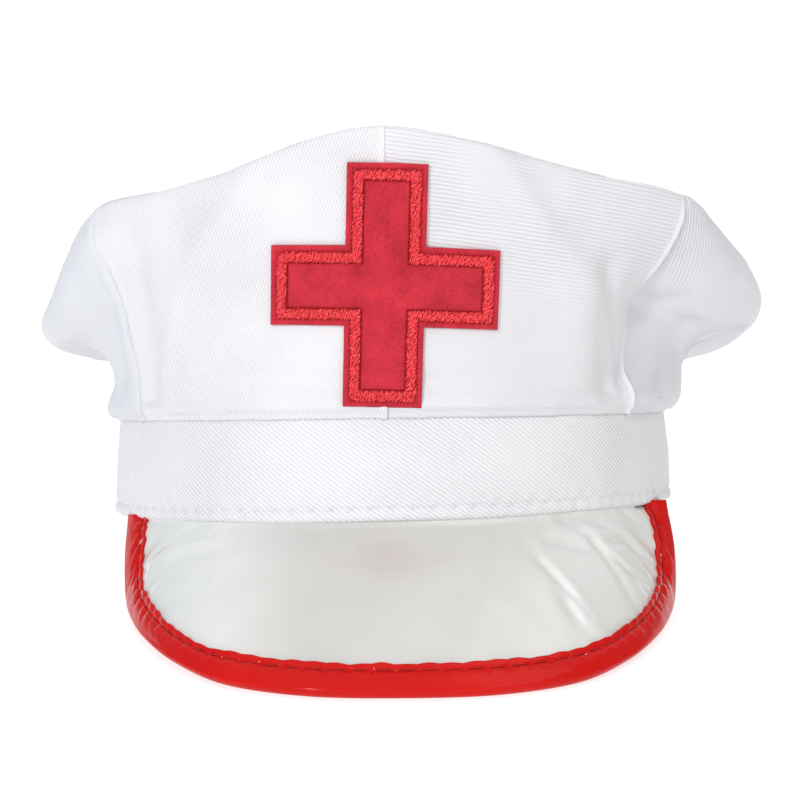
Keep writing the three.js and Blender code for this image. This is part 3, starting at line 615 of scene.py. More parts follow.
def settled(points):
    """1 on open cloth, fading to 0 under the cross patch, which holds the cloth flat."""
    a, b = patch_place(points[..., 0], points[..., 2])
    on_front = points[..., 1] < -60
    return np.where(on_front, eased((cross_gap(a, b) + 1) / 9), 1)


def crown_panel(shape, from_seam, to_seam, slant, pitch, seed):
    """One panel of the crown's wall, from the band to the seam round the top."""
    span = to_seam - from_seam
    near_seam = np.array([-0.09, 0.02, 0.14, 0.28, 0.44, 0.64, 0.9, 1.2, 1.6, 2.1, 2.7])
    middle = np.linspace(near_seam[-1], span - near_seam[-1], int(span / 0.6))[1:-1]
    columns = from_seam + np.concatenate([near_seam, middle, span - near_seam[::-1]])
    rows = np.concatenate([
        np.arange(0, 0.9, 0.075), np.linspace(0.9, 7.0, 76)[:-1], np.linspace(7.0, TOP_SEAM_KNOT + 0.012, 14),
    ])
    azimuth, knot = np.meshgrid(columns, rows, indexing="ij")
    skin = crown_skin(azimuth, knot)
    normal = facing_out(skin)
    up = run_along(skin, 1)
    around = run_along(skin[:, 40:41], 0)
    around = np.broadcast_to(around - around[-1] * (from_seam < -50), up.shape)
    radius = np.hypot(skin[..., 0], skin[..., 1])
    first, last = (gap * math.radians(1) * radius for gap in (azimuth - from_seam, to_seam - azimuth))
    from_top = up[:, -1:] - up
    push = creased_in(azimuth, knot, radius)
    top_seam = (from_top, 0.4, 0.9, 0.25, 2.2, 1.6)
    seams = ((first, *SEAM_EDGES[shape][0]), (last, *SEAM_EDGES[shape][1]), top_seam)
    push += np.maximum.reduce([sink * dent(gap, wide) for gap, sink, wide, *_ in seams])
    swelling = sum(swell * dent(gap - at, wide) for gap, _, _, swell, at, wide in seams)
    push -= swelling * np.clip(from_top / 9, 0, 1) ** 2
    for gap, offset in ((first, 0), (last, 400)):
        push -= 0.28 * crumple(up + offset, seed * 31 + azimuth * 0, 6, seed) * dent(gap - 2.5, 3.5)
    push -= 0.3 * crumple(around, seed * 17 + up * 0, 8, seed + 1) * dent(from_top - 2.5, 4)
    push -= 0.2 * dent(up, 1.0) + 0.85 * dent(up - 2.6, 1.8)
    push -= 0.3 * crumple(around, up * 0.3, 5, seed + 2) * dent(up - 2, 4)
    loose = 0.42 * crumple(around, up, 24, seed + 3) + 0.15 * crumple(around, up, 9, seed + 4)
    push -= loose * settled(skin) * np.clip(up / 8, 0, 1)
    outer = skin - push[..., None] * normal
    outer[..., 2] -= 0.9 * np.clip(1 - up / 1.2, 0, 1)
    inner = outer - CLOTH_WALL * facing_out(outer)
    on_front = shape.startswith("front")
    across, above = (skin[..., 0], skin[..., 2]) if on_front else (around, up)
    low, high, gone, full = RIB_FADES[shape]
    ribs = low + (high - low) * eased((up / up[:, -1:] - 0.4) / 0.35)
    ribs = ribs * np.clip((azimuth - gone) / (full - gone), 0, 1) * (1 - 0.9 * on_front * dent(last, 1.7))
    cloth = shell_from(
        shape + "_cloth", outer, inner, slanted(across, above, slant, pitch), False,
        PANEL_CLOTHS.get(shape, SIDE_SHADED_TWILL), "crown_" + shape, ribs,
    )


# Each panel: its seams, the slant and pitch of its ribs, and the seed of its uneven cloth.
PANELS = [
    ("front_left", LEFT_SEAM, CENTRE_SEAM, 68, 0.85, 11),
    ("front_right", CENTRE_SEAM, RIGHT_SEAM, -6.5, 1.12, 23),
    ("side_left", LEFT_BACK_SEAM, LEFT_SEAM, 75, 1.2, 37),
    ("side_right", RIGHT_SEAM, RIGHT_BACK_SEAM, 105, 1.2, 41),
    ("back", RIGHT_BACK_SEAM, LEFT_BACK_SEAM + 360, 60, 1.2, 53),
]
for panel in PANELS:
    crown_panel(*panel)


# Crown top: one large panel of the same twill, which closes the crown. It is sewn to the five wall
# panels along a seam just past the rim, and sags a little between them.
RIM_MEAN_RADIUS = 118
top_columns = np.linspace(-180, 180, 540, endpoint=False)
top_rows = np.concatenate([
    np.linspace(TOP_SEAM_KNOT - 0.12, 8.2, 12)[:-1], np.linspace(8.2, LAST_KNOT, 74),
])
azimuth, knot = np.meshgrid(top_columns, top_rows, indexing="ij")
skin = crown_skin(azimuth, knot)
normal = facing_out(skin, ringed=True)
normal[:, -2:] = (0, 0.1, 0.995)
from_seam = run_along(skin, 1)
push = 0.13 * dent(from_seam, 0.45) - 0.05 * dent(from_seam - 1.5, 1.0)
gathered = crumple(np.radians(azimuth) * RIM_MEAN_RADIUS, 0, 8, 61)
gathered = gathered * np.clip((180 - np.abs(azimuth)) / 6, 0, 1)
push = push - 0.25 * gathered * dent(from_seam - 2.5, 4) * np.clip(from_seam / 3, 0, 1)
sagging = 0.6 * crumple(skin[..., 0], skin[..., 1], 30, 62)
push = push - sagging - 0.15 * crumple(skin[..., 0], skin[..., 1], 10, 63)
outer = skin - push[..., None] * normal
outer[:, -1] = outer[:, -1].mean(0)
under = facing_out(outer, ringed=True)
under[:, -2:] = (0, 0.1, 0.995)
inner = outer - CLOTH_WALL * under
# The top uses the twill copy painted a tone darker as painted shade.
crown_top = shell_from(
    "top_cloth", outer, inner, slanted(outer[..., 0], outer[..., 1], 40, 1.2), True,
    TURNED_SHADED_TWILL, "crown_top", np.full(azimuth.shape, 0.9),
)


# Peak: a bowed sheet of glossy white vinyl over board, sewn under the band's front. The vinyl is
# pulled round the board's curve, so shallow wrinkles run out to the binding at both corners.
PEAK_WIDTH, PEAK_SHIFT, PEAK_REACH, PEAK_DROP = 172, 2.2, 41, 41
PEAK_WALL, PEAK_BOW = 1.8, 2.5
# How far the peak's left and right ends are drawn in under the band.
DRAWN_IN = (0.6, 2.2)
BINDING_WIDTH, BINDING_WALL = 7.2, 0.7
VINYL_WHITE, VINYL_GREY = (0.70, 0.71, 0.685), (0.53, 0.522, 0.495)
# One half of the peak: seat azimuth, shares across and forward, and lift towards the band.
PEAK_SECTIONS = [
    (0, 0, 1, 0), (12, 0.3, 0.985, 0), (23, 0.56, 0.92, 0), (31, 0.73, 0.805, 0), (37, 0.85, 0.665, 0),
    (42, 0.925, 0.53, 0), (45, 0.962, 0.44, 0.06), (48, 0.978, 0.395, 0.3), (51, 0.985, 0.36, 0.6),
    (54, 0.987, 0.325, 0.97),
]
# Wrinkles seen from above: the places that each runs through, sideways and forwards from the middle
# of the head, then its depth and width in millimetres.
WRINKLES = [
    ([(57.5, -90.4), (69, -86.9), (76.5, -79)], 0.55, 1.2), ([(62, -86), (70, -77), (79, -67.5)], 0.5, 1.2),
    ([(67, -69), (74, -64), (80, -58)], 0.45, 1.4), ([(50, -87.3), (60, -89.5), (69, -97)], 0.8, 2.8),
    ([(45.5, -114), (56, -121)], 0.5, 2.6), ([(41, -106), (53.5, -114.5)], 0.45, 1.5),
    ([(48, -88), (62, -79), (78, -72)], 0.7, 2.2), ([(54, -85), (66, -73), (79, -63)], 0.6, 2.0),
    ([(44, -98), (60, -92), (75, -84)], 0.6, 2.2), ([(38, -103), (47, -112), (51, -123)], 0.5, 3.0),
    ([(-76, -62), (-65, -75.8), (-55, -83)], 0.6, 2.0), ([(-72, -79), (-59, -88.9), (-47, -97)], 0.7, 2.6),
    ([(-66, -96), (-54, -103)], 0.4, 2.4), ([(-75, -58), (-63, -73.4)], 0.5, 1.8),
    ([(-73, -70), (-60, -82), (-52, -88)], 0.45, 1.3), ([(-60, -104), (-44, -110)], 0.3, 3.0),
]
WRINKLE_GAIN = 1.6
BAND_BACK = BAND_DEPTH / 2 + BAND_FLARE
PEAK_FRONT = BAND_BACK + PEAK_REACH
EDGE_THICKNESS = PEAK_WALL + SEAM_GAP + BINDING_WALL
REST_SLOPE = (PEAK_DROP + EDGE_THICKNESS) / (BAND_BACK + PEAK_FRONT)
PEAK_ROWS = [(-s, -a, f, l) for s, a, f, l in PEAK_SECTIONS[:0:-1]] + PEAK_SECTIONS
PEAK_KEYS = np.linspace(0, 1, len(PEAK_ROWS))
peak_column = lambda k, along: smooth_table(PEAK_KEYS, [row[k] for row in PEAK_ROWS], along)


def peak_edge(along):
    x, y = PEAK_SHIFT + peak_column(1, along) * PEAK_WIDTH / 2, -peak_column(2, along) * PEAK_FRONT
    drop = (REST_SLOPE * (BAND_BACK - y) - EDGE_THICKNESS) * (1 - peak_column(3, along))
    follow = peak_column(3, along) * skewed(BAND_EDGE_SKEW, np.degrees(np.arctan2(x, -y)))
    return np.stack([x, y, follow - np.maximum(drop, SEAM_GAP)], -1)


def peak_seat(along):
    azimuth = peak_column(0, along)
    height = skewed(BAND_EDGE_SKEW, azimuth) - SEAM_GAP
    return round_head(azimuth, band_radius(azimuth, 0) - BAND_WALL / 4, height)


def peak_sheet(along, inwards):
    """Middle of the vinyl's face at a distance in from the outer edge."""
    along, inwards = np.broadcast_arrays(np.asarray(along, float), np.asarray(inwards, float))
    edge, ruling = peak_edge(along), peak_seat(along) - peak_edge(along)
    share = inwards / np.linalg.norm(ruling, axis=-1)
    place = edge + share[..., None] * ruling
    place[..., 2] += PEAK_BOW * 4 * share * (1 - share) * (1 - peak_column(3, along))
    place[..., 0] += DRAWN_IN[0] * np.clip(1 - along / 0.1, 0, 1) ** 2
    place[..., 0] -= DRAWN_IN[1] * np.clip(along / 0.11 - 8.09, 0, 1) ** 2
    return place


def peak_facing(along, inwards):
    along, inwards = np.broadcast_arrays(np.asarray(along, float), np.asarray(inwards, float))
    spread = peak_seat(along) - peak_edge(along)
    side = np.where(along >= 0.5, 1.0, -1.0)
    level = unit(np.stack([-spread[..., 1] * side, spread[..., 0] * side, np.zeros_like(side)], -1))
    facing = out_of(peak_sheet, np.clip(along, 0.002, 0.998), inwards, 0.002, 0.5)
    share = eased(peak_column(3, along) / 0.45)[..., None]
    return unit(facing * (1 - share) + level * share)


def vinyl_finish():
    """Glossy white vinyl: a clear even coat over a very slightly mottled, greyish white. It is painted
    lighter towards the peak's two ends as a painted highlight, and stays greyer over its middle.
    """
    finish, tree, shader = new_finish("white_vinyl", Coat_Weight=0.35, Coat_Roughness=0.06, IOR=1.5)
    body = own_place(tree)
    cloud, pore, wave = noise(tree, body, 26, 4), noise(tree, body, 900), noise(tree, body, 60, 1)
    height = sum_of(tree, "ADD", sum_of(tree, "MULTIPLY", wave, 6), pore)
    aside = sum_of(tree, "ABSOLUTE", node(tree, "ShaderNodeSeparateXYZ", {0: body}).outputs[0], 0)
    # Painted highlight: lighter towards the peak's two ends, so the middle stays greyer.
    corner = sum_of(tree, "MULTIPLY", eased_range(tree, aside, 0.02, 0.07), 1.3)
    tone = sum_of(tree, "ADD", corner, ranged(tree, cloud, -0.4, 0.6))
    join(
        tree, shader, Base_Color=between(tree, tone, VINYL_GREY, VINYL_WHITE),
        Roughness=ranged(tree, cloud, 0.12, 0.24), Normal=bumped(tree, height, 0.35, 0.00004),
    )
    return finish


def wrinkled(points):
    """How far the wrinkles lift the vinyl: a shallow valley with a swelling on either side."""
    total = np.zeros(points.shape[:-1])
    for places, depth, width in WRINKLES:
        gap = np.full(total.shape, np.inf)
        for (x0, y0), (x1, y1) in zip(places, places[1:]):
            ax, ay = x1 - x0, y1 - y0
            px, py = points[..., 0] - x0, points[..., 1] - y0
            near = np.clip((px * ax + py * ay) / (ax * ax + ay * ay), 0, 1)
            gap = np.minimum(gap, np.hypot(px - near * ax, py - near * ay))
        ends = (places[0], places[-1])
        tips = np.minimum(*(np.hypot(points[..., 0] - x, points[..., 1] - y) for x, y in ends))
        fade = 0.25 + 0.75 * np.clip(tips / (3 * width), 0, 1)
        total += WRINKLE_GAIN * depth * fade * (0.55 * dent(gap, width * 2) - dent(gap, width * 0.85))
    return total


WHITE_VINYL = vinyl_finish()
peak_along = np.linspace(0, 1, 420)
shares = np.concatenate([np.linspace(0, 1, 9)[:-1] * 0.12, np.linspace(0.12, 1, 64)])
along, share = np.meshgrid(peak_along, shares, indexing="ij")
inwards = share * np.linalg.norm(peak_seat(along) - peak_edge(along), axis=-1)
sheet, facing = peak_sheet(along, inwards), peak_facing(along, inwards)
rise = wrinkled(sheet) * np.clip(inwards / 6, 0, 1) + 0.12 * crumple(sheet[..., 0], sheet[..., 1], 16, 71)
outer = sheet + rise[..., None] * facing * (share < 0.995)[..., None]
inner = sheet - PEAK_WALL * facing
# The inner edge is tucked up into the band, further at both ends.
tuck = 1 + 1.2 * np.clip((np.abs(along - 0.5) - 0.44) / 0.05, 0, 1)
for face in (outer, inner):
    face[..., 2] += tuck * np.clip((share - 0.96) / 0.04, 0, 1)
shell_from("peak_vinyl", outer, inner, outer[..., :2], False, WHITE_VINYL, "peak")


# Binding: a strip of red patent vinyl folded over the peak's edge and sewn through with red thread.
# The strip is straight and the edge is curved, so its inner edge gathers between the stitches.
PATENT_RED, PATENT_DARK = (0.60, 0.012, 0.010), (0.48, 0.007, 0.006)
BINDING_STITCH = {"pitch": 6.0, "length": 4.4, "width": 0.42, "thickness": 0.35}
STITCH_INSET = 5.3
SIDE_SPREAD = (0.9, 0.5)


def patent_finish():
    """Red patent vinyl: deep red under a hard clear coat, a little uneven where it is pulled."""
    finish, tree, shader = new_finish(
        "red_patent", IOR=1.15, Specular_IOR_Level=0.3, Coat_Weight=0.2,
        Coat_Roughness=0.02, Coat_IOR=1.35,
    )
    body = own_place(tree)
    cloud, wave = noise(tree, body, 55, 3), noise(tree, body, 160)
    join(
        tree, shader, Base_Color=between(tree, ranged(tree, cloud, 0, 1), PATENT_DARK, PATENT_RED),
        Roughness=ranged(tree, wave, 0.12, 0.26), Normal=bumped(tree, wave, 0.4, 0.0003),
    )
    return finish


def flap_spread(along):
    """How much wider the strip lies at the peak's sides, where the edge runs up to the band."""
    return 1 + np.where(along < 0.5, *SIDE_SPREAD) * eased((np.abs(along - 0.5) - 0.24) / 0.16)


RED_PATENT = patent_finish()
binding_along = np.linspace(0, 1, 1050)
edge_run = run_along(peak_sheet(binding_along, STITCH_INSET)[None], 1)[0]
flap = np.linspace(BINDING_WIDTH, 0.4, 27)
bend = np.radians(np.linspace(90, -90, 11))
# Round the strip's cut section: distance in from the edge, height over the vinyl's face, and whether
# the point lies on the strip's top flap.
half = PEAK_WALL / 2
outside = [(w, SEAM_GAP + BINDING_WALL, 1) for w in flap]
reach = SEAM_GAP + BINDING_WALL
outside += [(-reach * math.cos(b), -half + (half + reach) * math.sin(b), 0) for b in bend]
outside += [(w, -PEAK_WALL - SEAM_GAP - BINDING_WALL, 0) for w in np.linspace(0.8, BINDING_WIDTH, 8)]
inside = [(w, -PEAK_WALL - SEAM_GAP, 0) for w in np.linspace(BINDING_WIDTH, 0.8, 4)]
inside += [(-SEAM_GAP * math.cos(b), -half + (half + SEAM_GAP) * math.sin(b), 0) for b in bend[::-2]]
inside += [(w, SEAM_GAP * 0.3, 1) for w in np.linspace(0.8, BINDING_WIDTH, 8)]
inset, height, on_top = np.array(outside + inside).T
along, inset = np.meshgrid(binding_along, inset, indexing="ij")
height = np.broadcast_to(height, inset.shape).copy()
run = edge_run[:, None]
stitch_wave = np.cos(2 * np.pi * run / BINDING_STITCH["pitch"])
gather = 0.3 + 0.7 * np.clip(np.abs(along - 0.5) * 6 - 0.9, 0, 1)
flap_face = on_top * np.clip((height[:1] - SEAM_GAP) / BINDING_WALL, 0, 1)
puff = 0.32 * np.sin(np.pi * np.clip(inset / STITCH_INSET, 0, 1))
hole = np.clip(stitch_wave, 0, 1) ** 10
groove = -dent(inset - STITCH_INSET, 0.55) * (0.3 + 0.12 * stitch_wave)
groove = groove - 0.55 * hole * dent(inset - STITCH_INSET, 0.5)
teeth = -0.7 * (hole + 0.2 * stitch_wave) * gather * dent(inset - STITCH_INSET + 1.0, 1.0)
lip = 0.42 * (0.3 - hole - 0.3 * stitch_wave) * gather * dent(inset - BINDING_WIDTH, 1.1)
uneven = 0.12 * crumple(run, inset, 5, 81)
uneven += 0.12 * gather * dent(inset - STITCH_INSET, 1.8) * crumple(run, inset, 1.6, 82)
uneven += 0.16 * gather * crumple(run, inset, 2.4, 84) * dent(inset - STITCH_INSET + 2, 2.5)
height += flap_face * (puff + groove + teeth + lip + uneven)
height = np.where(flap_face > 0, np.maximum(height, SEAM_GAP * 0.3 + 0.05), height)
edge_wander = 0.4 * crumple(run, 0, 7, 83) - 0.3 * stitch_wave * gather
inset = inset + on_top * edge_wander * np.clip((inset - STITCH_INSET) / (BINDING_WIDTH - STITCH_INSET), 0, 1)
inset = np.where(inset > 0, inset * flap_spread(along), inset)
past = np.minimum(inset, 0)[..., None]
edge = peak_sheet(along, 0)
place = peak_sheet(along, np.maximum(inset, 0)) + past * unit(peak_sheet(along, 1) - edge)
grid = place + height[..., None] * peak_facing(along, np.maximum(inset, 0))
grid[..., 2] += 1.7 * np.clip((np.abs(along - 0.5) - 0.485) / 0.015, 0, 1)
count, around = inset.shape
faces = [face[::-1] for face in loop_faces(count, around, ringed=False)]
faces += [list(range(around)), list(range(count * around))[: -around - 1 : -1]]
binding_uv = np.stack(np.broadcast_arrays(run, inset), -1).reshape(-1, 2)
piece_from("binding_strip", grid.reshape(-1, 3), faces, binding_uv, RED_PATENT, "peak_binding")
THREAD_RED, _tree, _shader = new_finish("red_thread", Roughness=0.32, Specular_IOR_Level=0.45)
_body = own_place(_tree)
# Lighter, pinker flecks in the red: partly the thread's uneven ply, partly painted highlight on the satin
# stitches.
_share = ranged(_tree, noise(_tree, _body, 1100), -0.9, 1.9)
join(
    _tree, _shader, Base_Color=between(_tree, _share, (0.78, 0.026, 0.040), (1.0, 0.080, 0.098)),
    Normal=bumped(_tree, noise(_tree, _body, 2600), 0.5, 0.0001),
)
# Deep red thread for the binding's stitches; the same dark red paints shade in the rows along the cross
# border and between its satin stitches.
THREAD_DEEP_AND_SHADE, _tree, _shader = new_finish("deep_red_thread_and_painted_shade", Roughness=0.5, Specular_IOR_Level=0.2)
_ply = noise(_tree, own_place(_tree), 1800)
join(_tree, _shader, Base_Color=between(_tree, _ply, (0.20, 0.004, 0.005), (0.42, 0.010, 0.012)))
marks = np.arange(BINDING_STITCH["pitch"] / 2, edge_run[-1], BINDING_STITCH["pitch"])
marks = np.interp(marks, edge_run, binding_along)
sewn_in = lambda a: STITCH_INSET * flap_spread(a)
stitch_at = lambda a: peak_sheet(a, sewn_in(a)) + peak_facing(a, sewn_in(a)) * (reach - 0.02)
sew(
    "binding_stitches", stitch_at(marks), stitch_at(marks + 0.001) - stitch_at(marks - 0.001),
    peak_facing(marks, sewn_in(marks)), BINDING_STITCH, THREAD_DEEP_AND_SHADE,
)


# Cross patch: a plain cross cut from crimson felt, laid on the crown's front over the centre seam.
# Its cut edge is bare, and the satin-stitched border presses a narrow furrow into the felt.
PATCH_WALL, BORDER_INSET, BORDER_WIDTH = 1.2, 1.65, 3.2
FELT_CELL = 0.45
FELT_RED, FELT_DARK = (0.60, 0.026, 0.047), (0.34, 0.011, 0.022)


def crown_front_at(x, z):
    """Azimuth and knot of the crown's front at a sideways place and a height."""
    azimuth = np.degrees(np.arcsin(x / (CROWN_DEPTH / 2)))
    knot = RIM_KNOT * (z - CROWN_BASE) / CROWN_FRONT_HEIGHT
    for _ in range(25):
        here = crown_skin(azimuth, knot)
        azimuth = azimuth + 0.8 * np.degrees(x - here[..., 0]) / -here[..., 1]
        knot = knot + 0.8 * (z - here[..., 2]) * RIM_KNOT / CROWN_FRONT_HEIGHT
    return azimuth, knot


# The crown's front is looked up once, on a lattice over the cross.
LATTICE_HALF, LATTICE_STEP = 36, 3
lattice = np.arange(-LATTICE_HALF, LATTICE_HALF + 0.1, LATTICE_STEP)
la, lb = np.meshgrid(lattice, lattice, indexing="ij")
c, s = math.cos(PATCH_TURN), math.sin(PATCH_TURN)
aside, upward = la * c - lb * s, la * s + lb * c
front_azimuth, front_knot = crown_front_at(PATCH_SHIFT + aside, CROWN_BASE + PATCH_RISE + upward)


def on_patch(a, b, height):
    """A point over the crown's front, from the cross's own lines."""
    i, j = ((np.asarray(place) + LATTICE_HALF) / LATTICE_STEP for place in (a, b))
    p, q = (np.clip(cell.astype(int), 0, len(lattice) - 2) for cell in (i, j))
    aside, upward = i - p, j - q
    mix_row = lambda g, row: g[p, q + row] * (1 - aside) + g[p + 1, q + row] * aside
    mix = lambda g: mix_row(g, 0) * (1 - upward) + mix_row(g, 1) * upward
    azimuth, knot = mix(front_azimuth), mix(front_knot)
    facing = out_of(plain_crown, azimuth, knot, 3, 0.25)
    return crown_skin(azimuth, knot) + np.asarray(height)[..., None] * facing, facing


def cross_slab(name, half_width, half_height, arm, top_of, bottom, inside, finish, cad_node, slot, hole=None):
    """A thin slab in the shape of a cross, laid on the crown's front."""
    def lines(half):
        marks = [-half, -arm, arm, half]
        if hole:
            marks += [-half + BORDER_WIDTH, half - BORDER_WIDTH, -arm + BORDER_WIDTH, arm - BORDER_WIDTH]
        marks = sorted(marks)
        steps = [max(2, round((q - p) / FELT_CELL) + 1) for p, q in zip(marks, marks[1:])]
        parts = [np.linspace(p, q, n)[:-1] for p, q, n in zip(marks, marks[1:], steps)]
        return np.concatenate([*parts, [half]])
    a, b = np.meshgrid(lines(half_width), lines(half_height), indexing="ij")
    middle_a, middle_b = (a[:-1, :-1] + a[1:, 1:]) / 2, (b[:-1, :-1] + b[1:, 1:]) / 2
    filled = inside(middle_a, middle_b)
    top, _ = on_patch(a, b, top_of(a, b))
    low, _ = on_patch(a, b, np.full(a.shape, bottom))
    n = a.size
    index = np.arange(n).reshape(a.shape)
    p, q, r, s = index[:-1, :-1], index[1:, :-1], index[1:, 1:], index[:-1, 1:]
    faces = [np.stack([k[filled] for k in (p, q, r, s)], -1)]
    faces.append(np.stack([k[filled] + n for k in (p, s, r, q)], -1))
    wide = np.pad(filled, 1)
    for shift, pair in (((1, 0), (q, r)), ((-1, 0), (s, p)), ((0, 1), (r, s)), ((0, -1), (p, q))):
        beside = wide[1 + shift[0]: wide.shape[0] - 1 + shift[0], 1 + shift[1]: wide.shape[1] - 1 + shift[1]]
        bare = filled & ~beside
        u, v = pair[0][bare], pair[1][bare]
        faces.append(np.stack([u, u + n, v + n, v], -1))
    faces = np.concatenate(faces)
    used = np.unique(faces)
    renumber = np.zeros(2 * n, int)
    renumber[used] = np.arange(len(used))
    points = np.concatenate([top.reshape(-1, 3), low.reshape(-1, 3)])[used]
    flat = np.tile(np.stack([a.ravel(), b.ravel()], -1), (2, 1))[used]
    return piece_from(name, points, renumber[faces].tolist(), flat, finish, cad_node)


def felt_finish():
    """Crimson felt: matt, finely fuzzy and flecked."""
    finish, tree, shader = new_finish(
        "red_felt", Sheen_Weight=0.12, Sheen_Roughness=0.6, Specular_IOR_Level=0.15
    )
    body = own_place(tree)
    fuzz, cloud = noise(tree, body, 1100, 4, Roughness=0.7), noise(tree, body, 140, 3)
    share = sum_of(tree, "ADD", *(sum_of(tree, "MULTIPLY", part, 0.6) for part in (fuzz, cloud)))
    join(
        tree, shader, Base_Color=between(tree, ranged(tree, share, -1.0, 1.6), FELT_DARK, FELT_RED),
        Roughness=ranged(tree, fuzz, 0.8, 1.0), Normal=bumped(tree, fuzz, 0.5, 0.00025),
    )
    return finish


RED_FELT = felt_finish()
FELT_BASE = 0.2


def felt_top(a, b):
    edge = -cross_gap(a, b)
    furrow = 0.4 * dent(cross_gap(a, b, BORDER_INSET + BORDER_WIDTH) - 0.1, 0.45)
    furrow = furrow + 0.3 * dent(cross_gap(a, b, BORDER_INSET) - 0.2, 0.4)
    rounded = 0.3 * (1 - np.clip(edge / 0.5, 0, 1)) ** 2
    return FELT_BASE + PATCH_WALL - furrow - rounded + 0.1 * crumple(a, b, 6, 91)


felt = cross_slab(
    "cross_felt", PATCH_WIDTH / 2, PATCH_HEIGHT / 2, PATCH_ARM / 2, felt_top, FELT_BASE,
    lambda a, b: cross_gap(a, b) < 0, RED_FELT, "cross_patch", "red_felt",
)


# Cross border: a band of satin stitches in bright red thread, set in a little from the felt's edge.
# Short slanting stitches lie side by side over a padded ridge, all round the cross.
BORDER_STITCH = {"length": 1.15, "width": 0.29, "thickness": 0.42}
EDGE_STITCH = {"length": 0.62, "width": 0.36, "thickness": 0.34}


def border_top(a, b):
    across = np.abs(cross_gap(a, b, BORDER_INSET + BORDER_WIDTH / 2)) / (BORDER_WIDTH / 2)
    return FELT_BASE + PATCH_WALL - 0.2 + 0.75 * np.sqrt(np.clip(1 - across**2, 0, 1))


# The padded ridge is made in the dark red, as painted shade in the gaps between the satin stitches.
cross_slab(
    "border_ridge", *(size / 2 - BORDER_INSET for size in (PATCH_WIDTH, PATCH_HEIGHT, PATCH_ARM)),
    border_top, FELT_BASE + PATCH_WALL - 0.7,
    lambda a, b: (cross_gap(a, b, BORDER_INSET) < 0) & (cross_gap(a, b, BORDER_INSET + BORDER_WIDTH) > 0),
    THREAD_DEEP_AND_SHADE, "cross_border", "red_thread", hole=True,
)
dice = np.random.default_rng(5)
spots_a, spots_b = np.meshgrid(np.arange(-33, 33, 0.48), np.arange(-35, 35, 0.48), indexing="ij")
spots_a = (spots_a + dice.uniform(-0.25, 0.25, spots_a.shape)).ravel()
spots_b = (spots_b + dice.uniform(-0.25, 0.25, spots_b.shape)).ravel()
centred = np.abs(cross_gap(spots_a, spots_b, BORDER_INSET + BORDER_WIDTH / 2)) < BORDER_WIDTH / 2 - 0.35
spots_a, spots_b = spots_a[centred], spots_b[centred]
slant = np.radians(56 + 14 * np.sin(spots_a + spots_b) + dice.uniform(-10, 10, spots_a.shape))
over, step_a, step_b = border_top(spots_a, spots_b), 0.8 * np.cos(slant), 0.8 * np.sin(slant)
places, facing = on_patch(spots_a, spots_b, over - 0.02)
ahead, _ = on_patch(spots_a + step_a, spots_b + step_b, over)
behind, _ = on_patch(spots_a - step_a, spots_b - step_b, over)
sew("border_stitches", places, ahead - behind, facing, BORDER_STITCH, THREAD_RED, uneven=0.2)


def cross_outline(inset, pitch):
    """Points at even steps round a cross set in from the felt's edge, and the way that each looks."""
    wide, tall, arm = PATCH_WIDTH / 2 - inset, PATCH_HEIGHT / 2 - inset, PATCH_ARM / 2 - inset
    quarter = [(arm, tall), (arm, arm), (wide, arm)]
    corners = quarter + [(a, -b) for a, b in quarter[::-1]] + [(-a, -b) for a, b in quarter]
    corners = np.array(corners + [(-a, b) for a, b in quarter[::-1]] + quarter[:1])
    length = np.concatenate([[0], np.cumsum(np.linalg.norm(np.diff(corners, axis=0), axis=1))])
    marks = np.arange(0, length[-1], pitch)
    side = np.searchsorted(length, marks, side="right") - 1
    return *(np.interp(marks, length, corners[:, k]) for k in (0, 1)), np.diff(corners, axis=0)[side]


# Rows of small dark stitches along the border, painted shade where the stitch ends press into the felt:
# name, distance from the felt's edge, pitch.
ROWS = [
    ("border_inner_shade_row", BORDER_INSET + BORDER_WIDTH + 0.12, 1.0),
    ("border_outer_shade_row", BORDER_INSET - 0.1, 1.15),
]
for name, inset, pitch in ROWS:
    row_a, row_b, ahead = cross_outline(inset, pitch)
    ahead = unit(ahead)
    lean = dice.uniform(-0.9, 0.9, row_a.shape)
    step_a, step_b = ahead[:, 0] - lean * ahead[:, 1], ahead[:, 1] + lean * ahead[:, 0]
    places, facing = on_patch(row_a, row_b, felt_top(row_a, row_b) + 0.12)
    beyond, _ = on_patch(row_a + 0.3 * step_a, row_b + 0.3 * step_b, felt_top(row_a, row_b) + 0.12)
    sew(name, places, beyond - places, facing, EDGE_STITCH, THREAD_DEEP_AND_SHADE, uneven=0.3)


# Floor, light and camera: a plain white table under soft light from a pale room, seen from in front
# of the cap, a little above it, as in the photograph.
floor_mesh = bpy.data.meshes.new("floor")
floor_mesh.from_pydata([(-8, -8, 0), (8, -8, 0), (8, 8, 0), (-8, 8, 0)], [], [(0, 1, 2, 3)])
floor = bpy.data.objects.new("floor", floor_mesh)
bpy.context.scene.collection.objects.link(floor)
floor_finish, _tree, _shader = new_finish("floor_white", Roughness=0.8)
_shader.inputs["Base Color"].default_value = (0.4, 0.4, 0.4, 1)
_shader.inputs["Emission Color"].default_value = (1, 1, 1, 1)
_shader.inputs["Emission Strength"].default_value = 0.72
floor_mesh.materials.append(floor_finish)

world = bpy.data.worlds.new("room")
world.use_nodes = True
_tree = world.node_tree
_aim = node(_tree, "ShaderNodeTexCoord").outputs["Generated"]
_aside = node(_tree, "ShaderNodeSeparateXYZ", {0: _aim}).outputs[0]
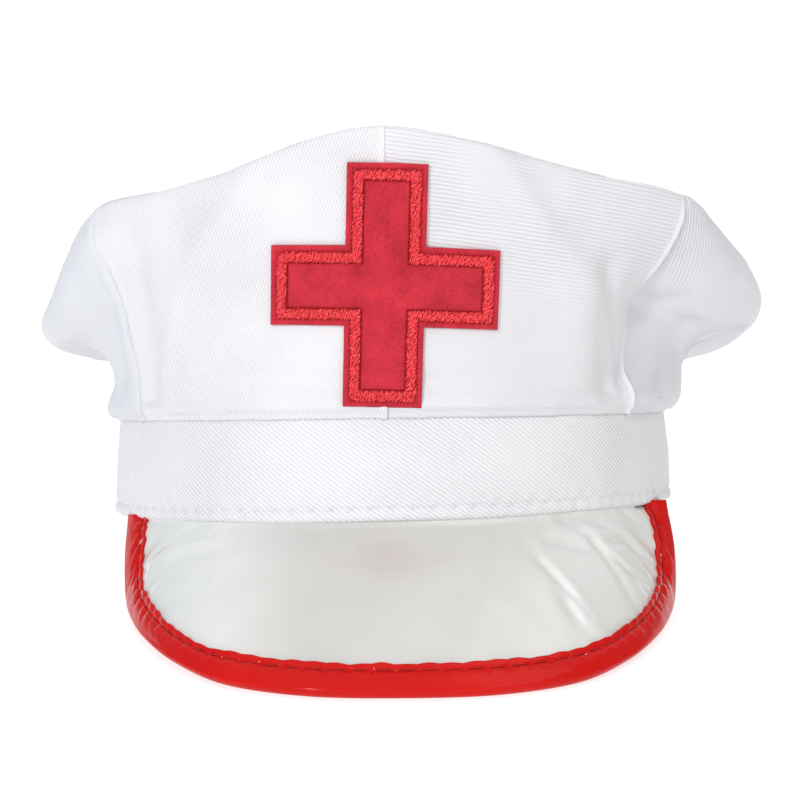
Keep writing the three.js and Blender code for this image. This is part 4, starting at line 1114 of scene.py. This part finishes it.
# The room is white in front and behind, darker at the left and right, and white to the camera.
_room = (1, 1, 1, 1)
for _share, _tint in (
    (eased_range(_tree, _aside, -0.35, -0.85), (0.22, 0.27, 0.35, 1)),
    (eased_range(_tree, _aside, 0.35, 0.85), (0.20, 0.20, 0.19, 1)),
    (node(_tree, "ShaderNodeLightPath").outputs["Is Camera Ray"], (1, 1, 1, 1)),
):
    _room = node(_tree, "ShaderNodeMix", {0: _share, 6: _room, 7: _tint}, data_type="RGBA").outputs[2]
_tree.links.new(_room, _tree.nodes["Background"].inputs[0])
_tree.nodes["Background"].inputs[1].default_value = 1.0
bpy.context.scene.world = world
# Lamps: name, place, size in metres, watts, colour.
LAMPS = [
    ("key", (-0.85, -1.75, 0.8), 0.25, 15.7, (1.0, 0.99, 1.0)),
    ("top_box", (0.55, -0.3, 1.2), 0.7, 2.2, (1.0, 1.0, 1.0)),
    ("right_strip", (1.3, -0.9, 0.6), 0.08, 1.2, (1.0, 1.0, 0.98)),
    ("left_window", (-1.6, -0.4, 0.7), 0.4, 0.2, (0.72, 0.83, 1.0)),
]
LIT_PLACE = np.array([0, 0, 0.06])
for name, place, size, watts, tint in LAMPS:
    lamp = bpy.data.lights.new(name, "AREA")
    lamp.size, lamp.energy, lamp.color = size, watts, tint
    light = bpy.data.objects.new(name, lamp)
    light.location = place
    aim = unit(LIT_PLACE - np.array(place))
    light.rotation_euler = (math.acos(-aim[2]), 0, math.atan2(aim[1], aim[0]) - math.pi / 2)
    bpy.context.scene.collection.objects.link(light)

VIEW_DISTANCE, VIEW_HEIGHT, ROLL = 600, 34.6, math.radians(0.4)
lens = bpy.data.cameras.new("photo_view")
lens.lens, lens.sensor_width, lens.shift_x = 79.43, 36, 0.01
lens.dof.use_dof = False
camera = bpy.data.objects.new("photo_view", lens)
camera.location = at_rest(np.array([0.0, -VIEW_DISTANCE, VIEW_HEIGHT]))
right = np.array([1.0, 0, 0])
upward = np.array([0, math.sin(TIP_ANGLE), math.cos(TIP_ANGLE)])
rolled_right = math.cos(ROLL) * right - math.sin(ROLL) * upward
rolled_up = math.sin(ROLL) * right + math.cos(ROLL) * upward
turn = mathutils.Matrix(np.stack([rolled_right, rolled_up, np.cross(rolled_right, rolled_up)], -1).tolist())
camera.rotation_euler = turn.to_euler()
bpy.context.scene.collection.objects.link(camera)
bpy.context.scene.camera = camera
bpy.context.scene.view_settings.view_transform = "Standard"
